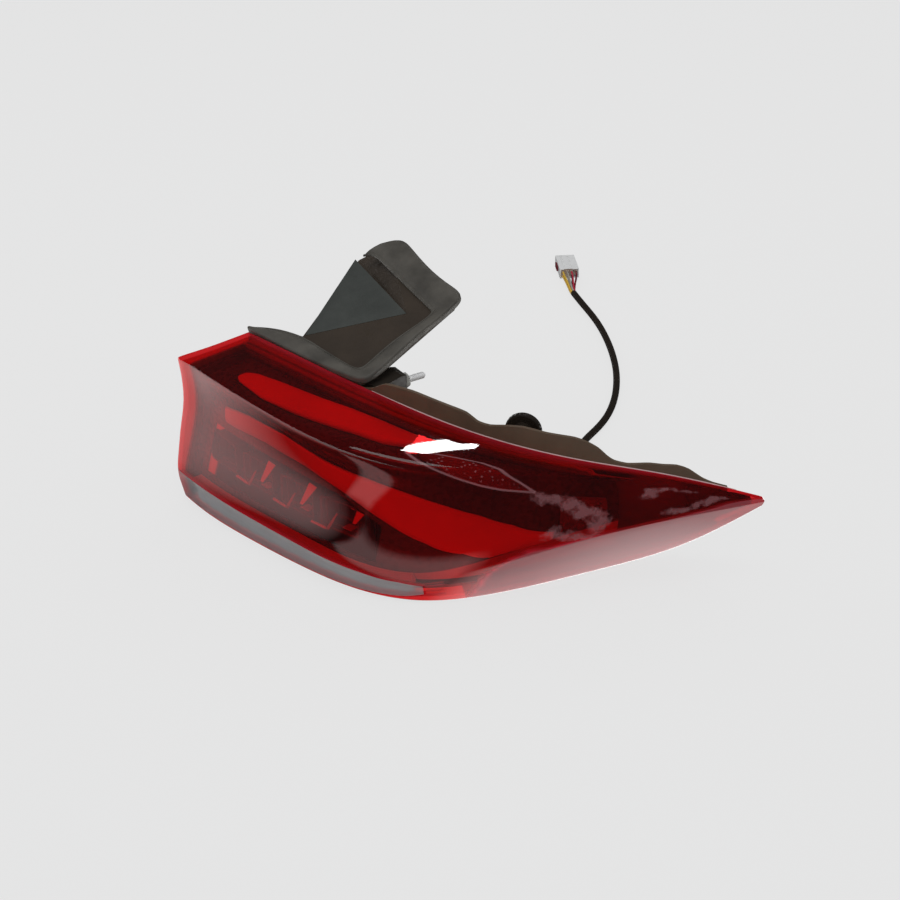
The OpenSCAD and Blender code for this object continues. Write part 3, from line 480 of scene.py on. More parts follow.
# Lines drawn on the lens, as column and row; a painted reflection patch also has its half width in millimetres
BELT_RIDGE = [(9.5, 9.58), (9.68, 7.98), (9.8, 7.28), (9.98, 6.7), (10.18, 6.5), (10.5, 6.7), (11, 6.75),
              (11.43, 6.88), (11.85, 6.9), (12.4, 6.2), (12.6, 5.6), (13, 5)]
RIDGE_FROM = BELT_RIDGE[0][0]
LEAF_EDGE = [(8.43, 2.18), (8.62, 1.78), (8.95, 1.8), (9.25, 1.96), (9.65, 2.52), (10.03, 3.4),
             (10.23, 4), (9.83, 3.94), (9.58, 3.78), (9.3, 3.5), (9, 3.12), (8.72, 2.72), (8.43, 2.18)]
REFLECTION_PATCHES = (([(10.28, 4.26), (10.43, 4.42), (10.58, 4.58), (10.75, 4.86), (10.88, 5.2)], 5),
          ([(10.95, 5.1), (11, 5.5), (11, 6.08), (10.93, 6.54)], 5),
          ([(10.38, 5.72), (10.53, 5.96), (10.68, 6.3), (10.83, 6.52)], 4.5),
          ([(11.62, 4.28), (11.7, 3.6), (11.88, 3.42), (12.12, 3.64)], 4),
          ([(11.9, 5.72), (12.12, 5.56), (12.3, 5.14), (12.48, 4.42)], 5))
# Rough size of one cell of the net, across and down, in millimetres
CELL = np.array([27.0, 10.0])


def from_line(line, col, row):
    """Distance in about millimetres from places on the lens to a line drawn on it."""
    p = np.stack([col, row], -1) * CELL
    q = np.array(line) * CELL
    best = np.full(col.shape, 1e9)
    for a, b in zip(q[:-1], q[1:]):
        t = np.clip(((p - a) @ (b - a)) / max(float((b - a) @ (b - a)), 1e-9), 0, 1)
        best = np.minimum(best, np.linalg.norm(p - a - t[..., None] * (b - a), axis=-1))
    return best


def leaf_depth(col, row):
    """Distance to the leaf's edge, positive inside it."""
    d = from_line(LEAF_EDGE, col, row)
    inside = np.zeros(col.shape, bool)
    for (x0, y0), (x1, y1) in zip(LEAF_EDGE[:-1], LEAF_EDGE[1:]):
        cross = ((y0 > row) != (y1 > row)) & (col < (x1 - x0) * (row - y0) / ((y1 - y0) or 1e-9) + x0)
        inside ^= cross
    return np.where(inside, d, -d)


def rounder_end(grid):
    """The inboard corner swells a little between its two ends."""
    x, y, z = (grid[..., k] for k in range(3))
    height = np.interp(z, [28, 45, 70, 110, 138, 146], [0, 0.35, 0.9, 1, 0.75, 0.7])
    swell = 4.6 * height * np.exp(-(np.maximum(x, 0) / 13) ** 2) * np.exp(-((y - 8) / 22) ** 2)
    return grid - swell[..., None] * np.array([0.62, 0.78, 0])


def fade(distance, wide):
    """One on a line, falling off to nothing over about twice its width."""
    return math.exp(-((distance / wide) ** 2))


def edge_glow(col, row):
    """Painted glow: how much of the lens's own colour shows as lit light at its rim, corner, seam, end wall,
    crease and tip.
    """
    rim = fade(row, table([(8, 0.12), (10, 0.3)], col)) + fade(col - 3, 0.12) * 0.55
    seam = 0.0
    if STRIP[0] - 0.1 < col < STRIP[1] + 0.25:
        over = (strip_top(col) - row) / 0.16
        under = (row - strip_low(col)) / 0.14
        seam = max(fade(over, 1) if over > -0.2 else 0, fade(under, 1) * 0.8 if under > -0.2 else 0)
    wall = 0.5 if col < 2.6 else 0
    crease = fade(row - 3.2, 0.1) * table([(3, 0.5), (6.6, 0.45), (7.5, 0)], col)
    tip = fade(13 - col, 0.12) * 0.5
    return min(1, max(rim, seam, wall, crease, tip))


def lens_attributes(cols, rows):
    """Painted light on the lens's outer and inner side, from the columns and rows of its net: glow at its edges,
    reflection under the belt crease, a highlight line along it, patches of reflection and the leaf's highlights.
    """
    edge = np.array([[edge_glow(col, row) for row in line] for col, line in zip(cols, rows)])
    c, r = np.repeat(cols[:, None], len(rows[0]), 1), np.array(rows)
    ridge = from_line(BELT_RIDGE, c, r)
    below = np.sign(r - np.interp(c, *zip(*BELT_RIDGE))) * np.where(c < RIDGE_FROM, -1, 1)
    skirt = np.where(c < RIDGE_FROM, -9, below * ridge)
    # belt: painted highlight line along the ridge
    belt = np.exp(-(ridge / 1.1) ** 2) * np.interp(c, [9.4, 10.4, 11.5, 12.8], [0.75, 0.6, 0.3, 0.25])
    # painted reflection patches along their lines
    reflection_patch = np.max([np.exp(-(from_line(line, c, r) / wide) ** 2) for line, wide in REFLECTION_PATCHES], axis=0)
    leaf = leaf_depth(c, r)
    return {"edge": np.stack([edge] * 2), "skirt": np.stack([skirt] * 2), "belt": np.stack([belt] * 2),
            "reflection_patch": np.stack([reflection_patch, 0 * reflection_patch]), "leaf": np.stack([leaf, 0 * leaf - 9])}


def lens_walls(cols, rows):
    return [rounder_end(lens_sheet(net, cols, rows)) for net in (LENS_OUT, LENS_IN)]


def lens_pieces():
    """The red lens with its window, and the clear strip that fills it."""
    cols = np.concatenate([ramp(a, b, n)[:-1] for a, b, n in (
        (0, 2, 6), (2, 3, 6), (3, 3.4, 4), (3.4, 9, 90), (9, 12.6, 56))] + [ramp(12.6, 13, 10)])
    i0, i1 = (int(np.argmin(abs(cols - end))) for end in STRIP)
    above, within = 56, 10
    head = finer([0, 0.4, 2.2, 3.8, 6.98], above // 4)[:-1] / 6.98
    rows = [np.concatenate([head * strip_top(i), ramp(strip_top(i), strip_low(i), within)[:-1],
                            ramp(strip_low(i), 12, 22)]) for i in cols]
    window = [(i0, i1, above, above + within)]
    lens = shell("lens_red_skin", *lens_walls(cols, rows), red_lens, window, lens_attributes(cols, rows))
    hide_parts("lens_red")
    c = 0.03
    cols = np.clip(cols[i0:i1 + 1], STRIP[0] + c, STRIP[1] - c)
    rows = [ramp(strip_top(i) + c, strip_low(i) - c, 12) for i in cols]
    t = ramp(0, 1, 12)
    # painted glow along the clear strip's borders
    near = np.exp(-(np.minimum(t, 1 - t) / 0.07) ** 2)
    edge = {"edge": np.stack([np.tile(near, (len(cols), 1))] * 2)}
    strip = shell("lens_clear_strip", *lens_walls(cols, rows), clear_lens, attributes=edge)
    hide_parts("lens_clear")


# Bezel, light bars and the pieces that sit on it
UPPER_HI = [(0, 0.95), (0.92, 1.15), (1.1, 0.92), (1.55, 0.74), (2.3, 0.55), (2.72, 0.42), (3.2, 0.36),
            (4.2, 0.36), (9, 0.6)]
UPPER_LO = [(0, 1.9), (0.92, 1.6), (1.1, 1.85), (1.74, 1.98), (2.37, 1.72), (2.86, 1.46), (3.33, 1.24),
            (3.75, 1.18), (4, 0.95), (4.15, 0.6), (9, 1.2)]
LOWER_HI = [(0, 4.65), (0.95, 4.6), (1.7, 4.25), (2.6, 3.95), (3.35, 4.3), (4.05, 4.4), (4.6, 4.65),
            (5.15, 4.93), (5.6, 5.2), (6, 5.58), (6.4, 6.2), (6.6, 6.6), (9, 6.6)]
LOWER_LO = [(0, 5.12), (1.25, 5.1), (2, 5), (2.9, 5.03), (3.7, 5.2), (4.4, 5.48), (4.95, 5.75),
            (5.45, 6.15), (5.75, 6.85), (6.6, 7.05), (9, 7.05)]
BORDER = [(0, 0.3), (2, 0.22), (4, 0.14), (9, 0.12)]
BEZEL_S = np.concatenate([[0.14, 0.24, 0.28, 0.34, 0.38, 0.6, 0.85, 1.1], ramp(1.35, 4.35, 12),
                          ramp(4.6, 6.6, 9), [6.85, 7.05, 7.2, 7.3]])
THIRD = (0, 1 / 3, 2 / 3, 1)
TUB_DEPTH = (4.2, 4.2, 8.5, 8.5, BEZEL_D)


def tub(j, s):
    """Row of each of the five steps between the bezel's rim and its floor."""
    a = table([(6, 0.04), (6.35, 0.35), (6.6, 0.9), (7.3, 1.5)], s)
    b = a + table(BORDER, s)
    return (a, b, b + 0.04, b + 0.09, b + 0.13)[j]


def bezel_rows(s):
    """The 26 rows of the bezel at a station, some of them along the edges of what sits on it."""
    h = max(table(UPPER_HI, s), tub(4, s) + 0.05)
    lo = max(table(UPPER_LO, s), h + 0.2)
    c, d = table(LOWER_HI, s), table(LOWER_LO, s)
    w = max(d + 0.12, 5.3)
    foot = [w, (w + 6.72) / 2, 6.72, 7.2] if w < 6.3 else [d + (7.2 - d) * k for k in (0.25, 0.5, 0.75, 1)]
    return ([tub(j, s) for j in range(5)] + [h + (lo - h) * t for t in THIRD]
            + [max(lo + 0.15, 2.2) + (c - 0.15 - max(lo + 0.15, 2.2)) * t for t in THIRD]
            + [c + (d - c) * t for t in THIRD] + foot + [7.6, 8.2, 8.8, 9.25, 10])


def bezel_depth(i, j):
    """Depth at a fractional station index and row index, level with the solids at whole ones."""
    s = np.interp(i, range(len(BEZEL_S)), BEZEL_S)
    steps = list(TUB_DEPTH) + [BEZEL_D]
    near = table([(6.2, BEZEL_D), (6.6, 8.5), (7.3, 5)], s) if j <= 6 else BEZEL_D
    return min(np.interp(i, range(6), steps), np.interp(j, range(6), steps), near)


def border_glow(i, j):
    """How much painted light the bezel's border takes at a station index and a row index."""
    if i < 0.4 or j < 0.4:
        return 1.0
    if j < 1.4:
        return 0.15 if j < 0.8 else 0.85
    return 0.2 if i < 1.6 or j < 3.4 else 0.0


def bezel_piece():
    """The stepped tub. Its border takes painted light under the skin, and its floor stays dark."""
    cut_i, cut_j = 4, 3
    whole_i, whole_j = range(len(BEZEL_S)), range(26)
    index_i, index_j = finer(list(whole_i), cut_i), finer(list(whole_j), cut_j)
    stations = np.interp(index_i, whole_i, BEZEL_S)
    rows = [np.interp(index_j, whole_j, bezel_rows(s)) for s in stations]
    depths = [np.array([bezel_depth(i, j) for j in index_j]) for i in index_i]
    front = sheet_at(stations, rows, depths)
    back = sheet_at(stations, rows, [d + BEZEL_T for d in depths])
    lit = np.array([[border_glow(i, j) for j in index_j] for i in index_i])
    foot = np.array([[1.0 if r > 7.2 and s > 4.85 else 0 for r in row] for s, row in zip(stations, rows)])
    window = [(5 * cut_i, 20 * cut_i, 17 * cut_j, 19 * cut_j)]
    piece = shell("bezel_tub", front, back, bezel_paint(), window,
                  {"lit": np.stack([lit] * 2), "foot": np.stack([foot] * 2)}, 30)
    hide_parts("bezel")


def skin_piece(name, material, stations, rows, tops, floor, smooth=50):
    """A piece between the depths of its face and those of its floor, all under the skin."""
    return shell(name, sheet_at(stations, rows, tops), sheet_at(stations, rows, [floor] * len(stations)),
                 material, smooth=smooth)


def bar_piece(name, replaced, s0, s1, high, low, n):
    """A crowned light guide on the bezel floor, rounded across and at both ends."""
    stations = s0 + (s1 - s0) * (1 - np.cos(ramp(0, math.pi, n))) / 2
    t = (1 - np.cos(ramp(0, math.pi, 16))) / 2
    rows = [table(high, s) + (table(low, s) - table(high, s)) * t for s in stations]
    across = np.maximum(1 - abs(2 * t - 1) ** 3.2, 0) ** 0.6
    ends = np.minimum(np.minimum(stations - s0, s1 - stations) / 0.12, 1)
    along = np.sqrt(np.maximum(1 - (1 - ends) ** 2, 0))
    base = BEZEL_D - 1.5 * GAP
    tops = [base - 0.4 - (BAR_T - 0.4) * across * a for a in along]
    piece = skin_piece(name, guide_red, stations, rows, tops, np.full(len(t), base))
    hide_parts(replaced)


def strip_guide_piece():
    """Grey guide behind the clear strip, with long flutes and a darker channel."""
    stations = ramp(0.45, 4.85, 90)
    t = ramp(0, 1, 48)
    ridge = 4.4 + 2.6 * np.exp(-(((t - 0.5) / 0.06) ** 2))
    flute = 0.3 * np.cos(t * math.pi * 22)
    rows = [7.15 + 2.35 * t] * len(stations)
    tops = [ridge + flute + 0.25 * math.cos(k * 0.9) for k in range(len(stations))]
    floor = np.where(t < 0.87, BEZEL_D - GAP, 8.2)
    piece = skin_piece("strip_guide_fluted", strip_grey, stations, rows, tops, floor)
    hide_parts("strip_guide")


LEAF_HI = [(4.35, 1.33), (4.65, 0.98), (5.18, 1.55), (5.6, 2.4), (5.93, 3.12), (6.23, 3.95)]
LEAF_LO = [(4.35, 1.43), (4.65, 1.9), (4.9, 2.4), (5.28, 3.3), (5.58, 3.85), (5.95, 4.05), (6.23, 4.05)]


def reflex_piece():
    """Leaf-shaped reflex with a field of small prisms inside a raised rim."""
    stations = ramp(4.4, 6.2, 110)
    t = ramp(0, 1, 44)
    rows, tops = [], []
    for k, s in enumerate(stations):
        high, low = table(LEAF_HI, s), table(LEAF_LO, s)
        rows.append(high + (low - high) * t)
        sides = np.maximum(np.exp(-((t / 0.06) ** 2)), np.exp(-(((1 - t) / 0.06) ** 2)))
        rim = np.maximum(sides, fade(min(s - 4.4, 6.2 - s), 0.03))
        prisms = abs(((t * 15 + k * 0.27) % 1) - 0.5) + abs(((t * 15 - k * 0.27) % 1) - 0.5)
        tops.append(8.0 - 1.3 * rim - 0.7 * prisms * (1 - rim))
    floor = np.full(len(t), BEZEL_D - 2.5 * GAP)
    piece = skin_piece("side_reflex_leaf", reflex_red, stations, rows, tops, floor, 20)
    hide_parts("side_reflex")


def prism_piece():
    """Stepped crystal block: small square facets at changing heights."""
    n, m = 13, 10
    stations = finer(list(ramp(6.55, 7.13, n)), 3)
    t = finer(list(ramp(0, 1, m)), 3)
    heights = np.random.default_rng(5).choice([6.6, 7.4, 8.2, 9.0, 9.6], (n, m))
    rows, tops = [], []
    for i, s in enumerate(stations):
        high = 4.5 + (s - 6.5) * 0.5
        rows.append(high + (6.2 - high) * t)
        tops.append(np.array([heights[min(i // 3, n - 1), min(j // 3, m - 1)] for j in range(len(t))]))
    floor = np.full(len(t), BEZEL_D - 2 * GAP)
    piece = skin_piece("side_prism_steps", crystal, stations, rows, tops, floor, 15)
    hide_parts("side_prism")


# Housing: smooth bowl with its wavy fence
FENCE = [(0, -4.3), (3, -4.9), (4, -6.2), (5, -6.2), (6, -4.3), (6.6, -1.8), (6.75, 2), (6.95, 12),
         (7.4, 16.3), (8.27, 16.1), (8.42, 10.4), (8.61, 10.4), (8.84, 15), (9.1, 18.4), (9.47, 17.9),
         (9.87, 19.3), (10.06, 17.4), (10.25, 13.2), (10.38, 7.1), (10.49, 3.8), (10.71, 2.8),
         (11.1, 7.1), (11.32, 7.6), (11.56, 10.1), (11.78, 8.6), (12.01, 2.4), (12.21, 0.5),
         (12.7, 0.3)]
BULGE = [(3, 12), (5, 14), (7, 18), (9.5, 18), (11, 12), (12, 4), (12.7, 0)]


def lens_at(i, row):
    return spline(spline(LENS_OUT, np.array([i]))[0], np.array([row]))[0]


def rim_at(i):
    return lens_at(i, 0.0)


def lip_at(i):
    return lens_at(i, 12.0)


def sideways(at, i):
    t = unit((at(i + 0.15) - at(i - 0.15)) * [1, 1, 0])
    return np.array([-t[1], t[0], 0])


def house_ring(i, t):
    """Nine points of one housing station, from the fence down to the underside; t from the inner wall out."""
    n = sideways(rim_at, i)
    p = rim_at(i) + n * 0.3
    k = spline(KEEL, np.array([i - 3.0]))[0]
    b, f = table(BULGE, i), table(FENCE, i)
    drop = min(table([(9.6, 12), (10.3, 5.5), (12.7, 4)], i), (p[2] - k[2]) * 0.3)
    q = p - [0, 0, drop]
    return [p + n * t + [0, 0, f], p + n * t - [0, 0, 0.6 * drop], q + n * t,
            q * 0.86 + k * 0.14 + n * (b * 0.75 - WALL_T + t), q * 0.65 + k * 0.35 + n * (b - WALL_T + t),
            q * 0.35 + k * 0.65 + n * (b - WALL_T + t), q * 0.1 + k * 0.9 + n * (b * 0.7 - WALL_T + t),
            k - n * (WALL_T - t) + [0, 0, WALL_T - t],
            lip_at(i) + sideways(lip_at, i) * (1 if i > 11.4 else 0.6) + [0, 0, WALL_T - t]]


def at_wall(q, x, off):
    """The same ring brought to the inboard end wall, or a step away from it."""
    out = [np.array([x, max(p[1], mouth_y(p[2]) + 1.2) if off else mouth_y(p[2]) + 0.3, p[2]]) for p in q[:8]]
    last = (12.3, mouth_y(0) + 0.3) if off else (5, mouth_y(0) + 1)
    return out + [np.array([*last, q[8][2]])]


def housing_piece():
    """The bowl, with its fence edge rounded."""
    whole = [3, 4.3, 4.8, 5.4, 6, 6.5, 6.6, 6.75, 6.95, 7.15, 7.4, 7.7, 8, 8.27, 8.42, 8.61, 8.84, 9.1,
             9.3, 9.47, 9.67, 9.87, 10.06, 10.25, 10.38, 10.49, 10.71, 10.9, 11.1, 11.32, 11.56, 11.78,
             12.01, 12.21, 12.45]
    grids = []
    for t in (WALL_T, 0.0):
        rings = [house_ring(i, t) for i in whole]
        first = [at_wall(rings[0], WALL_T - t, False), at_wall(rings[0], WALL_T - t, True)]
        rings = np.array(first + rings[1:])
        index = finer(list(range(len(rings))), 4)
        soft = spline(rings, index)
        plain = np.array([[[np.interp(k, range(len(rings)), rings[:, j, c]) for c in range(3)]
                           for j in range(9)] for k in index])
        keep = (index < 2.01)[:, None, None]
        grids.append(np.where(keep, plain, plain * 0.35 + soft * 0.65))
    outer, inner = grids
    fine_rows = finer(list(range(9)), 5)

    def refine(grid):
        return np.array([[[np.interp(r, range(9), line[:, c]) for c in range(3)] for r in fine_rows]
                         for line in grid])

    piece = shell("housing_bowl", refine(inner), refine(outer), housing_brown, smooth=35)
    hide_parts("housing")


# Rubber lip of the side extension
EXT_O = np.array([-3.0, 79.0, 144.0])
EXT_U = unit([138, 34, -1])
TILT = math.radians(17)
EXT_F = unit([-EXT_U[1], EXT_U[0], 0]) * math.cos(TILT) + np.array([0, 0, math.sin(TILT)])
EXT_G = unit(EXT_F - EXT_U * float(EXT_F @ EXT_U))
EXT_N = np.cross(EXT_U, EXT_G)
LIP_H = 5.5
LIP_INNER = [(0.5, 2.4), (21, 12.8), (51, 17.5), (77, 13.6), (106, 10.4), (123, 9), (128.5, 12),
             (128.3, 26), (127.5, 46), (130, 65), (132.5, 80), (134, 92), (132, 98.5), (125, 100.5),
             (102.5, 107.6), (76, 116.6), (50, 125.2), (33, 131), (27, 130.5), (21, 126)]
LIP_OUTER = [(0.8, -2.2), (27, -3.4), (62, -4.4), (87, -4.4), (115, -3.8), (134, -2.6), (145, 0),
             (147, 14), (146, 39), (145, 65), (146.5, 86), (147.5, 112), (144.5, 124), (137, 129),
             (122, 131.5), (99, 137), (70, 148), (49, 157.5), (38, 158), (29, 146)]


def on_ext(a, b, c):
    return EXT_O + EXT_U * a + EXT_G * b + EXT_N * c


def tube(name, rings, material, smooth=50.0):
    """A tube through rings of points, closed at both ends."""
    n, m = rings.shape[:2]
    faces = [(i * m + j, i * m + (j + 1) % m, (i + 1) * m + (j + 1) % m, (i + 1) * m + j)
             for i in range(n - 1) for j in range(m)]
    faces += [tuple(range(m - 1, -1, -1)), tuple((n - 1) * m + j for j in range(m))]
    return mesh_object(name, place(rings.reshape(-1, 3)), faces, material, smooth)


def lip_piece():
    """Thick soft lip: full rounded section with a bead along its inner edge."""
    s = ramp(0, 19, 190)
    a, b = spline(LIP_INNER, s), spline(LIP_OUTER, s)
    section = [(0.0, 0.1), (0.0, 1.5), (0.035, 2.3), (0.075, 2.2), (0.1, 1.7), (0.16, 2.5), (0.3, 3.9),
               (0.45, 4.7), (0.6, 5.1), (0.75, 5.3), (0.86, LIP_H - 0.05), (0.93, 5.2), (0.985, 4.4),
               (1.0, 3.2), (1.0, 0.1)]
    rings = np.array([[on_ext(*(p + (q - p) * x), h) for x, h in section] for p, q in zip(a, b)])
    piece = tube("extension_lip_rubber", rings, lip_rubber, smooth=65)
    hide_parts("extension_lip")


def facet_piece():
    """Raised panel on the rear half of the extension, bounded by a crease from corner to corner. Its blue-grey
    colour is painted reflection on the same plastic as the extension.
    """
    p, q, r = np.array([(51, 19.5), (17, 119.5), (112, 86)], float)
    n = 14
    verts, faces, index = [], [], {}
    for lift in (0, 1):
        for i in range(n + 1):
            for j in range(n + 1 - i):
                a, b = i / n, j / n
                c = 1 - a - b
                x, y = p * c + q * a + r * b
                rim = min(a, b, c)
                index[lift, i, j] = len(verts)
                verts.append(on_ext(x, y, (0.15 + 0.75 * min(1, rim / 0.03)) if lift else 0.02))
    for i in range(n):
        for j in range(n - i):
            faces.append((index[1, i, j], index[1, i + 1, j], index[1, i, j + 1]))
            faces.append((index[0, i, j + 1], index[0, i + 1, j], index[0, i, j]))
            if j < n - i - 1:
                faces.append((index[1, i + 1, j], index[1, i + 1, j + 1], index[1, i, j + 1]))
                faces.append((index[0, i, j + 1], index[0, i + 1, j + 1], index[0, i + 1, j]))
    border = [(i, 0) for i in range(n)] + [(n - j, j) for j in range(n)] + [(0, n - j) for j in range(n)]
    for a, b in zip(border, border[1:] + border[:1]):
        faces.append((index[0, a[0], a[1]], index[0, b[0], b[1]], index[1, b[0], b[1]], index[1, a[0], a[1]]))
    piece = mesh_object("extension_facet", place(verts), faces, facet_painted_reflection, smooth=40)


def tip_piece():
    """Dark sheet inside the outboard tip: painted shade, behind which nothing shows."""
    cols, rows = ramp(12.1, 12.86, 16), [ramp(0.35, 8.6, 40)] * 17
    near, far = [lens_sheet(lens_net(d), cols, rows) for d in (3.1, 3.5)]
    piece = shell("tip_painted_shade_sheet", near, far, tip_painted_shade, smooth=50)


def rim_highlight_piece():
    """Fine pale tube where the lens rim meets the fence: a painted highlight line."""
    rings = []
    for i in ramp(6.75, 12.6, 130):
        p = rim_at(i) + sideways(rim_at, i) * 0.3 + np.array([0, 0, 0.15])
        t = unit(rim_at(i + 0.05) - rim_at(i - 0.05))
        u = unit(np.cross(t, [0, 0, 1]))
        v = np.cross(u, t)
        wide = 0.55 * table([(6.75, 0.5), (7.4, 1), (12, 1), (12.6, 0.4)], i)
        turn = ramp(0, 2 * math.pi, 8)[:-1]
        rings.append([p + u * math.cos(g) * wide + v * math.sin(g) * wide for g in turn])
    piece = tube("lens_rim_painted_highlight", np.array(rings), rim_painted_highlight, smooth=60)


# Round pieces turned from a profile
def lathe(name, profile, origin, axis, material, parts=96, smooth=35.0, radial=None):
    """Profile of (radius, height) turned about an axis; radial changes the radius with the angle."""
    axis = unit(axis)
    side = unit(np.cross(axis, [0, 0, 1]))
    over = np.cross(side, axis)
    rings = []
    for r, h in profile:
        angles = [2 * math.pi * j / parts for j in range(parts)]
        rings.append([origin + axis * h + (side * math.cos(g) + over * math.sin(g))
                      * (r if radial is None else radial(r, h, g)) for g in angles])
    return tube(name, np.array(rings), material, smooth=smooth)


def wall_at(i, z):
    """Point on the outside of the housing's wall at a height."""
    q = np.array(house_ring(i, WALL_T))[:8]
    v = float(np.interp(-z, -q[:, 2], range(8)))
    f = min(int(v), 6)
    return q[f] + (q[f + 1] - q[f]) * (v - f)


def stand(i, z, r):
    """Point where a round foot of radius r just clears the outside of the wall."""
    n = sideways(rim_at, i)
    c = wall_at(i, z)
    k = r / (np.linalg.norm(wall_at(i + 0.1, z) - wall_at(i - 0.1, z)) * 5)
    out = max(float((wall_at(i + k * math.cos(a), z + r * math.sin(a)) - c) @ n)
              for a in np.radians(range(0, 360, 30)))
    return c + n * (out + GAP), n


# Reflector cups
CUP_S = (0.82, 1.8, 2.7, 3.6)


def under_skin(s, r, d):
    return sheet_at([s], [np.array([r])], [np.array([d])])[0, 0]


def cup_axes(i):
    """Centre of a cup's mouth and its own axes: along the lamp, inward and up."""
    p = under_skin(CUP_S[i], 5.95, 17.5)
    t = under_skin(CUP_S[i] + 0.3, 5.95, 20) - under_skin(CUP_S[i] - 0.3, 5.95, 20)
    yaw = math.atan2(t[1], t[0])
    return (np.array([p[0], p[1] + 2.4, 56.0]), np.array([math.cos(yaw), math.sin(yaw), 0]),
            np.array([-math.sin(yaw), math.cos(yaw), 0]), np.array([0, 0, 1.0]))


def rounded_square(w, h, r, n=6):
    """Points round a rectangle of half sizes w and h with rounded corners."""
    out = []
    for cx, cz, start in ((w - r, h - r, 0), (r - w, h - r, 90), (r - w, r - h, 180), (w - r, r - h, 270)):
        out += [(cx + r * math.cos(math.radians(start + 90 * k / n)),
                 cz + r * math.sin(math.radians(start + 90 * k / n))) for k in range(n + 1)]
    return out


def slab(points, normal, thick):
    """Vertices and faces of a thin plate through a loop of points."""
    n = len(points)
    a = [np.asarray(p, float) for p in points]
    b = [p + normal * thick for p in a]
    faces = [tuple(range(n)), tuple(range(2 * n - 1, n - 1, -1))]
    return a + b, faces + [(j, (j + 1) % n, n + (j + 1) % n, n + j) for j in range(n)]


def ring_faces(n, m):
    """Faces between n loops of m points, the last joined to the first."""
    return [(i * m + j, i * m + (j + 1) % m, (i + 1) % n * m + (j + 1) % m, (i + 1) % n * m + j)
            for i in range(n) for j in range(m)]


def cup_piece(i):
    """Stepped dish with a flat back, and a slanted blade and a ledge painted brighter through their lit values,
    as painted light.
    """
    c, x, y, z = cup_axes(i)
    w, h = CUP[0] / 2, CUP[1] / 2
    levels = [(0, 0), (0.6, 0.2), (0.8, 5), (2.6, 5.6), (3.4, 13.4), (7.4, 14.2), (7.8, 17), (11.9, 19.9)]
    outer = [(w - a, h - a * 0.83, d) for a, d in levels]
    back = [(w - a - 1.35, h - a * 0.83 - 1.35, d) for a, d in levels[:-1]] + [(w - 12.6, h - 10.6, 19.95)]
    loops = [[c + x * u + z * v + y * d for u, v in rounded_square(a, b, min(a, b) * 0.3)]
             for a, b, d in outer + back[::-1]]
    n = len(loops[0])
    verts = [p for q in loops for p in q]
    faces = ring_faces(len(loops), n)
    lit = [0.0] * len(verts)

    def add(points, normal, thick, value):
        more, more_faces = slab([c + x * a + y * b + z * d for a, b, d in points], normal, thick)
        faces.extend(tuple(len(verts) + k for k in f) for f in more_faces)
        verts.extend(more)
        lit.extend([value] * len(more))

    if i:
        add([(5, -1.5, -4), (8.5, -1.5, -4), (27, -1.5, 20.5), (18, -1.5, 21.5)] if i < 3 else
            [(15, -1.5, 0), (18, -1.5, 0), (27.5, -1.5, 12.5), (20, -1.5, 13.5)], y, 0.8, 1.0)
        add([(0.5, 3, -12), (10, 3, -12), (12, 9.5, -10.8), (3, 9.5, -10.8)], z, 0.8, 0.5)
        add([(-30, -1.4, -15.2), (-14.5, -1.4, -16.4), (-14.5, -1.4, -14.8), (-30, -1.4, -13.8)],
            y, 1.6, 0.95)
        add([(-14.5, -1.2, -16.4), (-11, -1.2, -16), (-1.5, -0.4, 2.5), (-3, -0.4, 2.5)], y, 0.8, 0.4)
    piece = mesh_object(f"cup_dish_{i + 1}", place(verts), faces, mirror_red, attributes={"lit": lit})
    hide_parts(f"cup_{i + 1}")


# Fixings
def hex_nut(name, origin, replaced, rotate=0.0):
    """Chamfered hex nut whose axis runs along +Y."""
    af, height, bore = 12.0, 5.4, 2.87
    profile = [(bore + 0.35, 0), (5.9, 0), (6.93, 0.55), (6.93, height - 0.55), (5.9, height),
               (bore + 0.35, height), (bore, height - 0.4), (bore, 0.4)]

    def flats(r, h, g):
        if r < 5:
            return r
        flat = af / 2 / math.cos((g + rotate) % (math.pi / 3) - math.pi / 6)
        return min(r, flat)

    rings = []
    for g in ramp(0, 2 * math.pi, 96)[:-1]:
        rings.append([origin + np.array([math.cos(g) * flats(r, h, g), h, math.sin(g) * flats(r, h, g)])
                      for r, h in profile])
    rings = np.array(rings)
    n, m = rings.shape[:2]
    piece = mesh_object(name, place(rings.reshape(-1, 3)), ring_faces(n, m), nut_steel, smooth=25)
    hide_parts(replaced)


def threaded_stud(name, origin, replaced):
    """Plain shank and rolled thread of 1 mm pitch, with a chamfered end, along +Y."""
    length, start, pitch, top, root = 22.9, 5.6, 1.0, 3.0, 2.45
    turn = 40
    rings = []
    threads = ramp(start + 0.05, length - 0.05, 17 * 8)
    heights = np.concatenate([[0, 0.01, start - 0.3, start], threads, [length]])
    for h in heights:
        row = []
        for j in range(turn):
            g = 2 * math.pi * j / turn
            phase = ((h - g / (2 * math.pi) * pitch) / pitch) % 1
            thread = root + (top - root) * min(1, max(0, 1.15 - abs(phase - 0.5) * 2.6))
            r = 2.67 if h <= start else thread
            r = min(r, top if h < length - 1.6 else top - (h - length + 1.6) * 0.85)
            row.append(origin + np.array([math.cos(g) * r, h, math.sin(g) * r]))
        rings.append(row)
    piece = tube(name, np.array(rings), stud_steel, smooth=35)
    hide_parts(replaced)


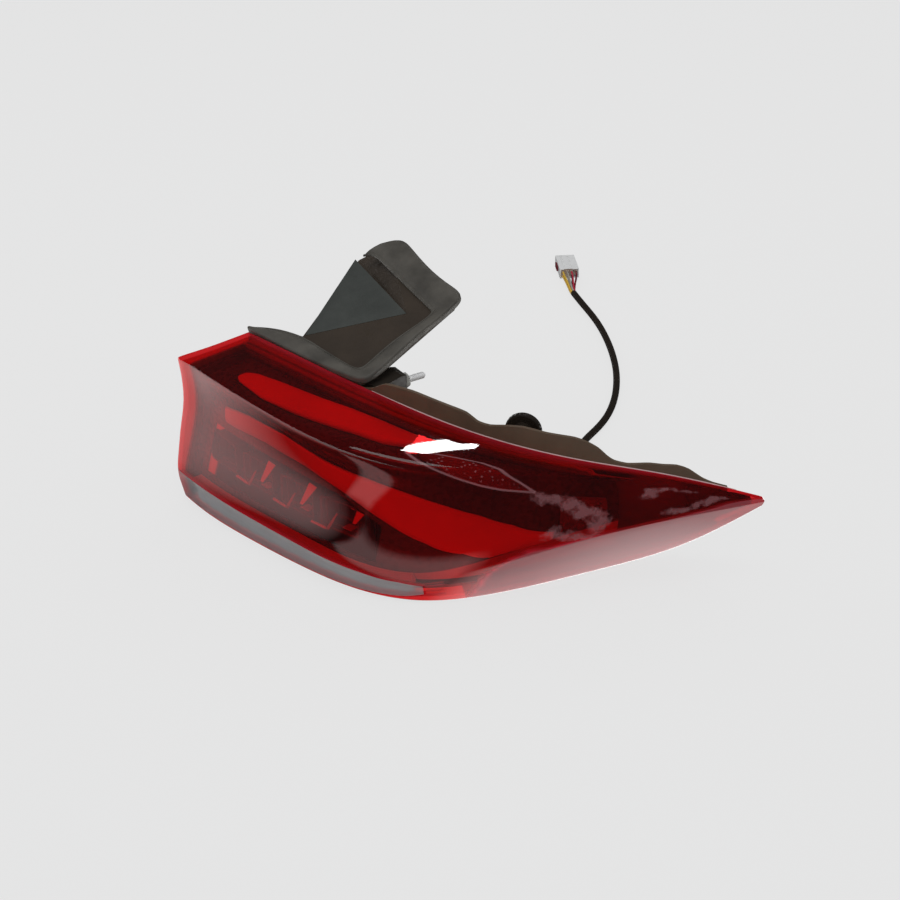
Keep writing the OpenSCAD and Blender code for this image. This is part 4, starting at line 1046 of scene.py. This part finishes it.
def cap_piece():
    """Round service cap: skirt, rolled rim, a groove and a shallow dome with a grip boss."""
    p, n = stand(9.03, 124.5, 10)
    profile = [(0.05, 0), (8.7, 0), (9, 0.3), (9, 15.8), (14.2, 15.9), (14.6, 16.2), (15.4, 17), (15.5, 17.6),
               (15.5, 20.4), (15.1, 21.2), (14.4, 21.7), (13.8, 21.2), (13.2, 21.3), (12.6, 22.1), (10.5, 22.6),
               (8.4, 22.9), (7.9, 23.3), (7.3, 25.4), (6.8, 25.9), (0.05, 26)]

    def knurl(r, h, g):
        return r - (0.35 if 17 < h < 20.5 and r > 15 and math.cos(24 * g) > 0.2 else 0)

    piece = lathe("service_cap_dome", profile, p, n, cap_black, 192, 30, knurl)
    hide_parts("service_cap")


def grommet_piece(p, n):
    profile = [(0.05, 0), (12.6, 0), (13, 0.4), (13, 2.6), (12.5, 3), (8.6, 3.9), (8, 5), (7.2, 5.6), (7.7, 6.3),
               (6.9, 7.2), (7.3, 8.0), (6.5, 8.9), (6.9, 9.7), (6.2, 10.7), (6, 13.4), (5.4, 14), (0.05, 14)]
    piece = lathe("harness_grommet_boot", profile, p, n, grommet_rubber, 72, 40)
    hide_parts("harness_grommet")


# Harness: the route's points are the solids' own
EXIT_P, EXIT_N = stand(9.7, 52, 13)
ROUTE = [EXIT_P + EXIT_N * 14.2, EXIT_P + EXIT_N * 24, EXIT_P + EXIT_N * 40 - [0, 0, 8],
         EXIT_P + EXIT_N * 52 - [0, 0, 34], [210, 282, 4.3], [185, 303, 3.3], [150, 328, 3.3], [122, 350, 3.3],
         [108, 382, 3.3], [90, 410, 3.3], [63, 438, 3.3], [31, 463, 3.3], [4, 480, 3.3], [-25, 495.6, 3.3],
         [-57, 510, 3.3], [-87, 520.6, 3.3], [-117, 528.4, 3.3], [-142.6, 536, 3.3]]
ROUTE = np.array([np.asarray(p, float) for p in ROUTE])
PLUG = np.array([-181.0, 558.0, 0.0])
PLUG_YAW = math.radians(63)
PLUG_SIZE = (20.5, 36.0, 10.5)
WIRE_RING = (2, 3, 0, 4, 1, 0, 6, 5)


def in_plug(x, y, z):
    c, s = math.cos(PLUG_YAW), math.sin(PLUG_YAW)
    return PLUG + np.array([c * x - s * y, s * x + c * y, z])


def curve_piece(name, points, radius, material):
    """A round cord on one open spline through closely spaced points."""
    data = bpy.data.curves.new(name, "CURVE")
    data.dimensions = "3D"
    data.bevel_depth = radius / 1000
    data.bevel_resolution = 8
    data.use_fill_caps = True
    line = data.splines.new("POLY")
    line.points.add(len(points) - 1)
    for k, p in zip(line.points, place(points)):
        k.co = (*p, 1)
    line.use_smooth = True
    data.materials.append(material)
    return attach(add_object(name, data), "root")


def wire_line(i):
    """Centre line of one wire, from its place in the sheath's end to its place in the plug."""
    x, z = (i % 4 - 1.5) * 4.6, 2.9 if i < 4 else 7.3
    d = unit(ROUTE[-1] - ROUTE[-2])
    u = np.cross(d, [0, 0, 1])
    r = 0 if i == 2 else 1.98 / 2 / math.sin(math.pi / 7)
    g = math.pi / 2 + WIRE_RING[i] * 2 * math.pi / 7
    p = ROUTE[-1] + d * GAP + u * r * math.cos(g) + np.array([0, 0, r * math.sin(g)])
    middle = (p + d * 6 + in_plug(x, -8, z)) / 2 + [0, 0, 1.5]
    control = [p, p + d * 5, middle, in_plug(x, -7, z), in_plug(x, 0, z)]
    return spline(control, ramp(0, 4, 40))


WIRE_COLOURS = ((0.85, 0.52, 0.06), (0.55, 0.53, 0.48), (0.012, 0.012, 0.012), (0.03, 0.19, 0.35),
                (0.8, 0.5, 0.05), (0.42, 0.4, 0.36), (0.55, 0.02, 0.06), (0.2, 0.012, 0.02))


def block(x0, x1, y0, y1, z0, z1):
    """Corner points and faces of a box in the plug's own axes."""
    corners = [in_plug(x, y, z) for z in (z0, z1) for x, y in ((x0, y0), (x1, y0), (x1, y1), (x0, y1))]
    faces = [(3, 2, 1, 0), (4, 5, 6, 7), (0, 1, 5, 4), (1, 2, 6, 5), (2, 3, 7, 6), (3, 0, 4, 7)]
    return corners, faces


def joined_blocks(name, boxes, material, bevel):
    """Several boxes as one mesh, with every edge rounded a little."""
    verts, faces = [], []
    for b in boxes:
        more, more_faces = block(*b)
        faces += [tuple(len(verts) + k for k in f) for f in more_faces]
        verts += more
    obj = mesh_object(name, place(verts), faces, material, smooth=30)
    edge = obj.modifiers.new("edges", "BEVEL")
    edge.width = bevel / 1000
    edge.segments = 2
    edge.limit_method = "ANGLE"
    return obj


def plug_pieces():
    """Eight-way plug: shell with two grooves on top, rear cavity walls, side rails and a red lock."""
    w, l, h = PLUG_SIZE
    x = w / 2
    y0, y1, z0, z1 = GAP, GAP + l, 0.2, 0.2 + h
    body = [(-x, x, y0 + 3, y1, z0, z1 - 0.7),
            (-x, -5.6, y0, y1, z1 - 0.9, z1), (-4.0, 1.6, y0 + 1.2, y1, z1 - 0.9, z1),
            (3.2, x, y0, y1, z1 - 0.9, z1),
            (-5.7, -3.9, y0 + 1.2, y0 + 7, z1 - 0.9, z1), (-5.7, -3.9, y1 - 3, y1, z1 - 0.9, z1),
            (1.5, 3.3, y0 + 1.2, y0 + 7, z1 - 0.9, z1), (1.5, 3.3, y1 - 3, y1, z1 - 0.9, z1),
            (-x, -x + 1.2, y0, y0 + 4, z0, z1 - 0.7), (x - 1.2, x, y0, y0 + 4, z0, z1 - 0.7),
            (-x, x, y0, y0 + 4, z0, z0 + 1.1)]
    shell_ = joined_blocks("plug_shell", body, connector_white, 0.25)
    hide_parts("connector")
    face = [(-x + 1.3, x - 1.3, y0 + 2, y0 + 3.6, z0 + 1.2, z1 - 1)]
    for k in range(4):
        for z in (2.9, 7.3):
            face.append(((k - 1.5) * 4.6 - 1.7, (k - 1.5) * 4.6 + 1.7, y0 + 0.9, y0 + 2.2, z - 1.5, z + 1.5))
    seal = joined_blocks("plug_wire_seals", face, seal_beige, 0.3)
    lock = joined_blocks("plug_lock", [(-x - GAP - 1.6, -x - GAP, 12, 24, 3, 8.5),
                                       (-x - GAP - 1.6, -x - GAP - 0.7, 10.5, 12.3, 4, 7.5)], lock_red, 0.3)
    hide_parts("connector_lock")
    return [shell_, seal, lock]


def harness_pieces():
    """The plug, its eight wires and the sheathed cable."""
    line = spline(ROUTE, ramp(0, len(ROUTE) - 1, 340))
    plug = plug_pieces()
    for i, colour in enumerate(WIRE_COLOURS):
        cover = plastic(f"wire_cover_{i + 1}", colour, 0.32, 1500, 0.00002, 0.1, 0.08)
        points = wire_line(i)
        wire = curve_piece(f"harness_wire_{i + 1}", points, WIRE_R, cover)
        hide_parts("harness_wires")
    cable = curve_piece("harness_sheath", line, CABLE_R, sheath_black)
    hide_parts("harness_cable")


def rounded(node, width, material, segments=3):
    """A solid kept as it is, with its edges rounded and its own material."""
    obj = nodes[node]
    if width:
        edge = obj.modifiers.new("edges", "BEVEL")
        edge.width = width / 1000
        edge.segments = segments
        edge.limit_method = "ANGLE"
        edge.angle_limit = math.radians(12)
    obj.data.materials.clear()
    obj.data.materials.append(material)
    for polygon in obj.data.polygons:
        polygon.material_index = 0


# The object
lens_pieces()
bezel_piece()
bar_piece("upper_bar_guide", "upper_light_bar", 0.92, 4.1, UPPER_HI, UPPER_LO, 120)
bar_piece("lower_bar_guide", "lower_light_bar", 0.95, 6.5, LOWER_HI, LOWER_LO, 170)
strip_guide_piece()
reflex_piece()
prism_piece()
for index in range(4):
    cup_piece(index)
housing_piece()
lip_piece()
facet_piece()
rim_highlight_piece()
tip_piece()
rounded("side_extension", 0.5, extension_brown)
rounded("extension_gusset", 0.5, housing_brown)
rounded("upper_bracket", 0.8, bracket_black)
rounded("lower_bracket", 0.8, bracket_black)
rounded("pin_seat", 0.8, housing_brown)
rounded("locating_pin", 0.3, pin_nylon)
STUDS = (("upper", (130, 153.2, 131), 0.25), ("lower", (60, 124.2, 42), 0.0))
for side, foot, turned in STUDS:
    hex_nut(f"{side}_nut_hex", np.array(foot), f"{side}_nut", turned)
for side, foot, turned in STUDS:
    threaded_stud(f"{side}_stud_thread", np.array(foot), f"{side}_stud")
cap_piece()
grommet_piece(EXIT_P, EXIT_N)
harness_pieces()
for index in range(1, 5):
    rounded(f"board_{index}", 0.2, board_green, 2)
    rounded(f"led_{index}", 0.3, phosphor, 2)
rounded("upper_circuit", 0, board_green)
rounded("lower_circuit", 0, board_green)
rounded("led_carrier", 0.4, carrier_black)
rounded("driver_box", 0.8, cast_grey)


# Surroundings: a pale floor, which the lens's gloss sees bright in three patches beside the lamp.
# Each step is a brightness that falls to nothing between two places, in metres.
PALE = 0.812
GLOSS_LEAST = 0.05
REAR_STEPS = ((1.25, -0.53, -0.36), (0.5, -0.75, -0.53))
SIDE_STEPS = ((1.9, 0.0, 0.022), (1.9, 0.04, 0.052))
SIDE_FROM = (0.129, 0.023)
SIDE_SLOPE = (0.95, -0.3)
BAND_AT = (0.0985, -0.27)
BAND_LEAN = 0.25
BAND_MIDDLE = -0.22


def emission(tree, colour, strength):
    return node(tree, "Emission", {"Color": colour, "Strength": strength})[0]


def steps(tree, value, rows):
    first, second = (span(tree, value, high, 0.0, start, end) for high, start, end in rows)
    return plus(tree, first, second)


def floor_gloss(tree):
    """Brightness of the floor in reflections: behind the lamp, beside it, and a band by its outboard tip."""
    geometry = node(tree, "NewGeometry", {})
    x, y = node(tree, "SeparateXYZ", {0: geometry["Position"]})[:2]
    rear = steps(tree, plus(tree, x, y), REAR_STEPS)
    side = plus(tree, times(tree, plus(tree, x, -SIDE_FROM[0]), SIDE_SLOPE[0]),
                times(tree, plus(tree, y, -SIDE_FROM[1]), SIDE_SLOPE[1]))
    near = times(tree, steps(tree, side, SIDE_STEPS), span(tree, x, 0.0, 1.0, 0.03, 0.09))
    near = times(tree, near, span(tree, y, 0.0, 1.0, -0.085, -0.045))
    lean = times(tree, plus(tree, y, -BAND_AT[1]), -BAND_LEAN)
    off = maths(tree, "ABSOLUTE", plus(tree, plus(tree, x, -BAND_AT[0]), lean))
    ends = maths(tree, "ABSOLUTE", plus(tree, y, -BAND_MIDDLE))
    band = times(tree, span(tree, off, 1.0, 0.0, 0.035, 0.055), span(tree, ends, 1.0, 0.0, 0.14, 0.17))
    bright = GLOSS_LEAST
    for patch in (rear, near, band):
        bright = maths(tree, "MAXIMUM", patch, bright)
    return bright


def floor_material():
    material, tree = nodes_of("floor_pale")
    path = node(tree, "LightPath", {})
    grey = diffuse(tree, (0.8, 0.8, 0.8))
    plain = mix_shaders(tree, 0.12, emission(tree, (1, 1, 1), PALE), grey)
    seen = mix_shaders(tree, path["Is Camera Ray"], grey, plain)
    shine = emission(tree, (1, 0.99, 0.98), floor_gloss(tree))
    return finished(material, tree, mix_shaders(tree, path["Is Glossy Ray"], seen, shine))


def floor_piece():
    mesh = bpy.data.meshes.new("floor")
    mesh.from_pydata([(-6, -6, 0), (6, -6, 0), (6, 6, 0), (-6, 6, 0)], [], [(0, 1, 2, 3)])
    mesh.materials.append(floor_material())
    obj = add_object("floor", mesh)
    obj.location.z = -0.0002


def world_light():
    world = bpy.data.worlds.new("room")
    bpy.context.scene.world = world
    world.use_nodes = True
    tree = world.node_tree
    tree.nodes.clear()
    path = node(tree, "LightPath", {})
    room, pale, dim = (node(tree, "Background", {"Color": colour, "Strength": strength})[0]
                       for colour, strength in (((0.97, 0.98, 1.0), 0.55), ((1, 1, 1), PALE),
                                                ((1, 1, 1), GLOSS_LEAST)))
    seen = mix_shaders(tree, path["Is Camera Ray"], room, pale)
    node(tree, "OutputWorld", {"Surface": mix_shaders(tree, path["Is Glossy Ray"], seen, dim)})


# Middle of the lamp, which the softboxes face
MIDDLE = Vector((0, 0, 0.07))


def aimed(obj, eye, target):
    obj.matrix_world = Matrix.Translation(Vector(eye)) @ (
        Vector(target) - Vector(eye)).to_track_quat("-Z", "Y").to_matrix().to_4x4()


def lamp(name, size, power, eye, target):
    """Area light at a place, facing another."""
    data = bpy.data.lights.new(name, "AREA")
    data.shape = "RECTANGLE"
    data.size, data.size_y = size
    data.energy = power
    aimed(add_object(name, data), eye, target)


def round_lamp(azimuth, elevation, distance):
    """Place in a compass direction from the middle of the lamp."""
    a, e = math.radians(azimuth), math.radians(elevation)
    return MIDDLE + Vector((math.cos(e) * math.cos(a), math.cos(e) * math.sin(a), math.sin(e))) * distance


def camera():
    """Camera of the picture: level, 30 degrees down, from behind and outboard."""
    data = bpy.data.cameras.new("camera")
    data.lens = 84.7059
    data.sensor_width = 36
    obj = add_object("camera", data)
    a, e = math.radians(57), math.radians(30)
    right = Vector((math.cos(a), math.sin(a), 0))
    up = Vector((-math.sin(a) * math.sin(e), math.cos(a) * math.sin(e), math.cos(e)))
    back = Vector((math.sin(a) * math.cos(e), -math.cos(a) * math.cos(e), math.sin(e)))
    turn = Matrix((right, up, back)).transposed().to_4x4()
    obj.matrix_world = Matrix.Translation((1.317664, -0.856950, 0.983098)) @ turn
    bpy.context.scene.camera = obj


floor_piece()
world_light()
lamp("softbox_back", (0.155, 0.04), 0.5, (-0.810, 0.754, 1.036), (0.068, -0.056, 0.129))
lamp("softbox_left", (0.1, 0.12), 0.9, round_lamp(-152.5, 30, 1.7), MIDDLE)
lamp("overhead", (0.9, 0.9), 5, round_lamp(-60, 82, 1.8), MIDDLE)
camera()
bpy.context.scene.view_settings.view_transform = "Standard"
bpy.context.view_layer.update()
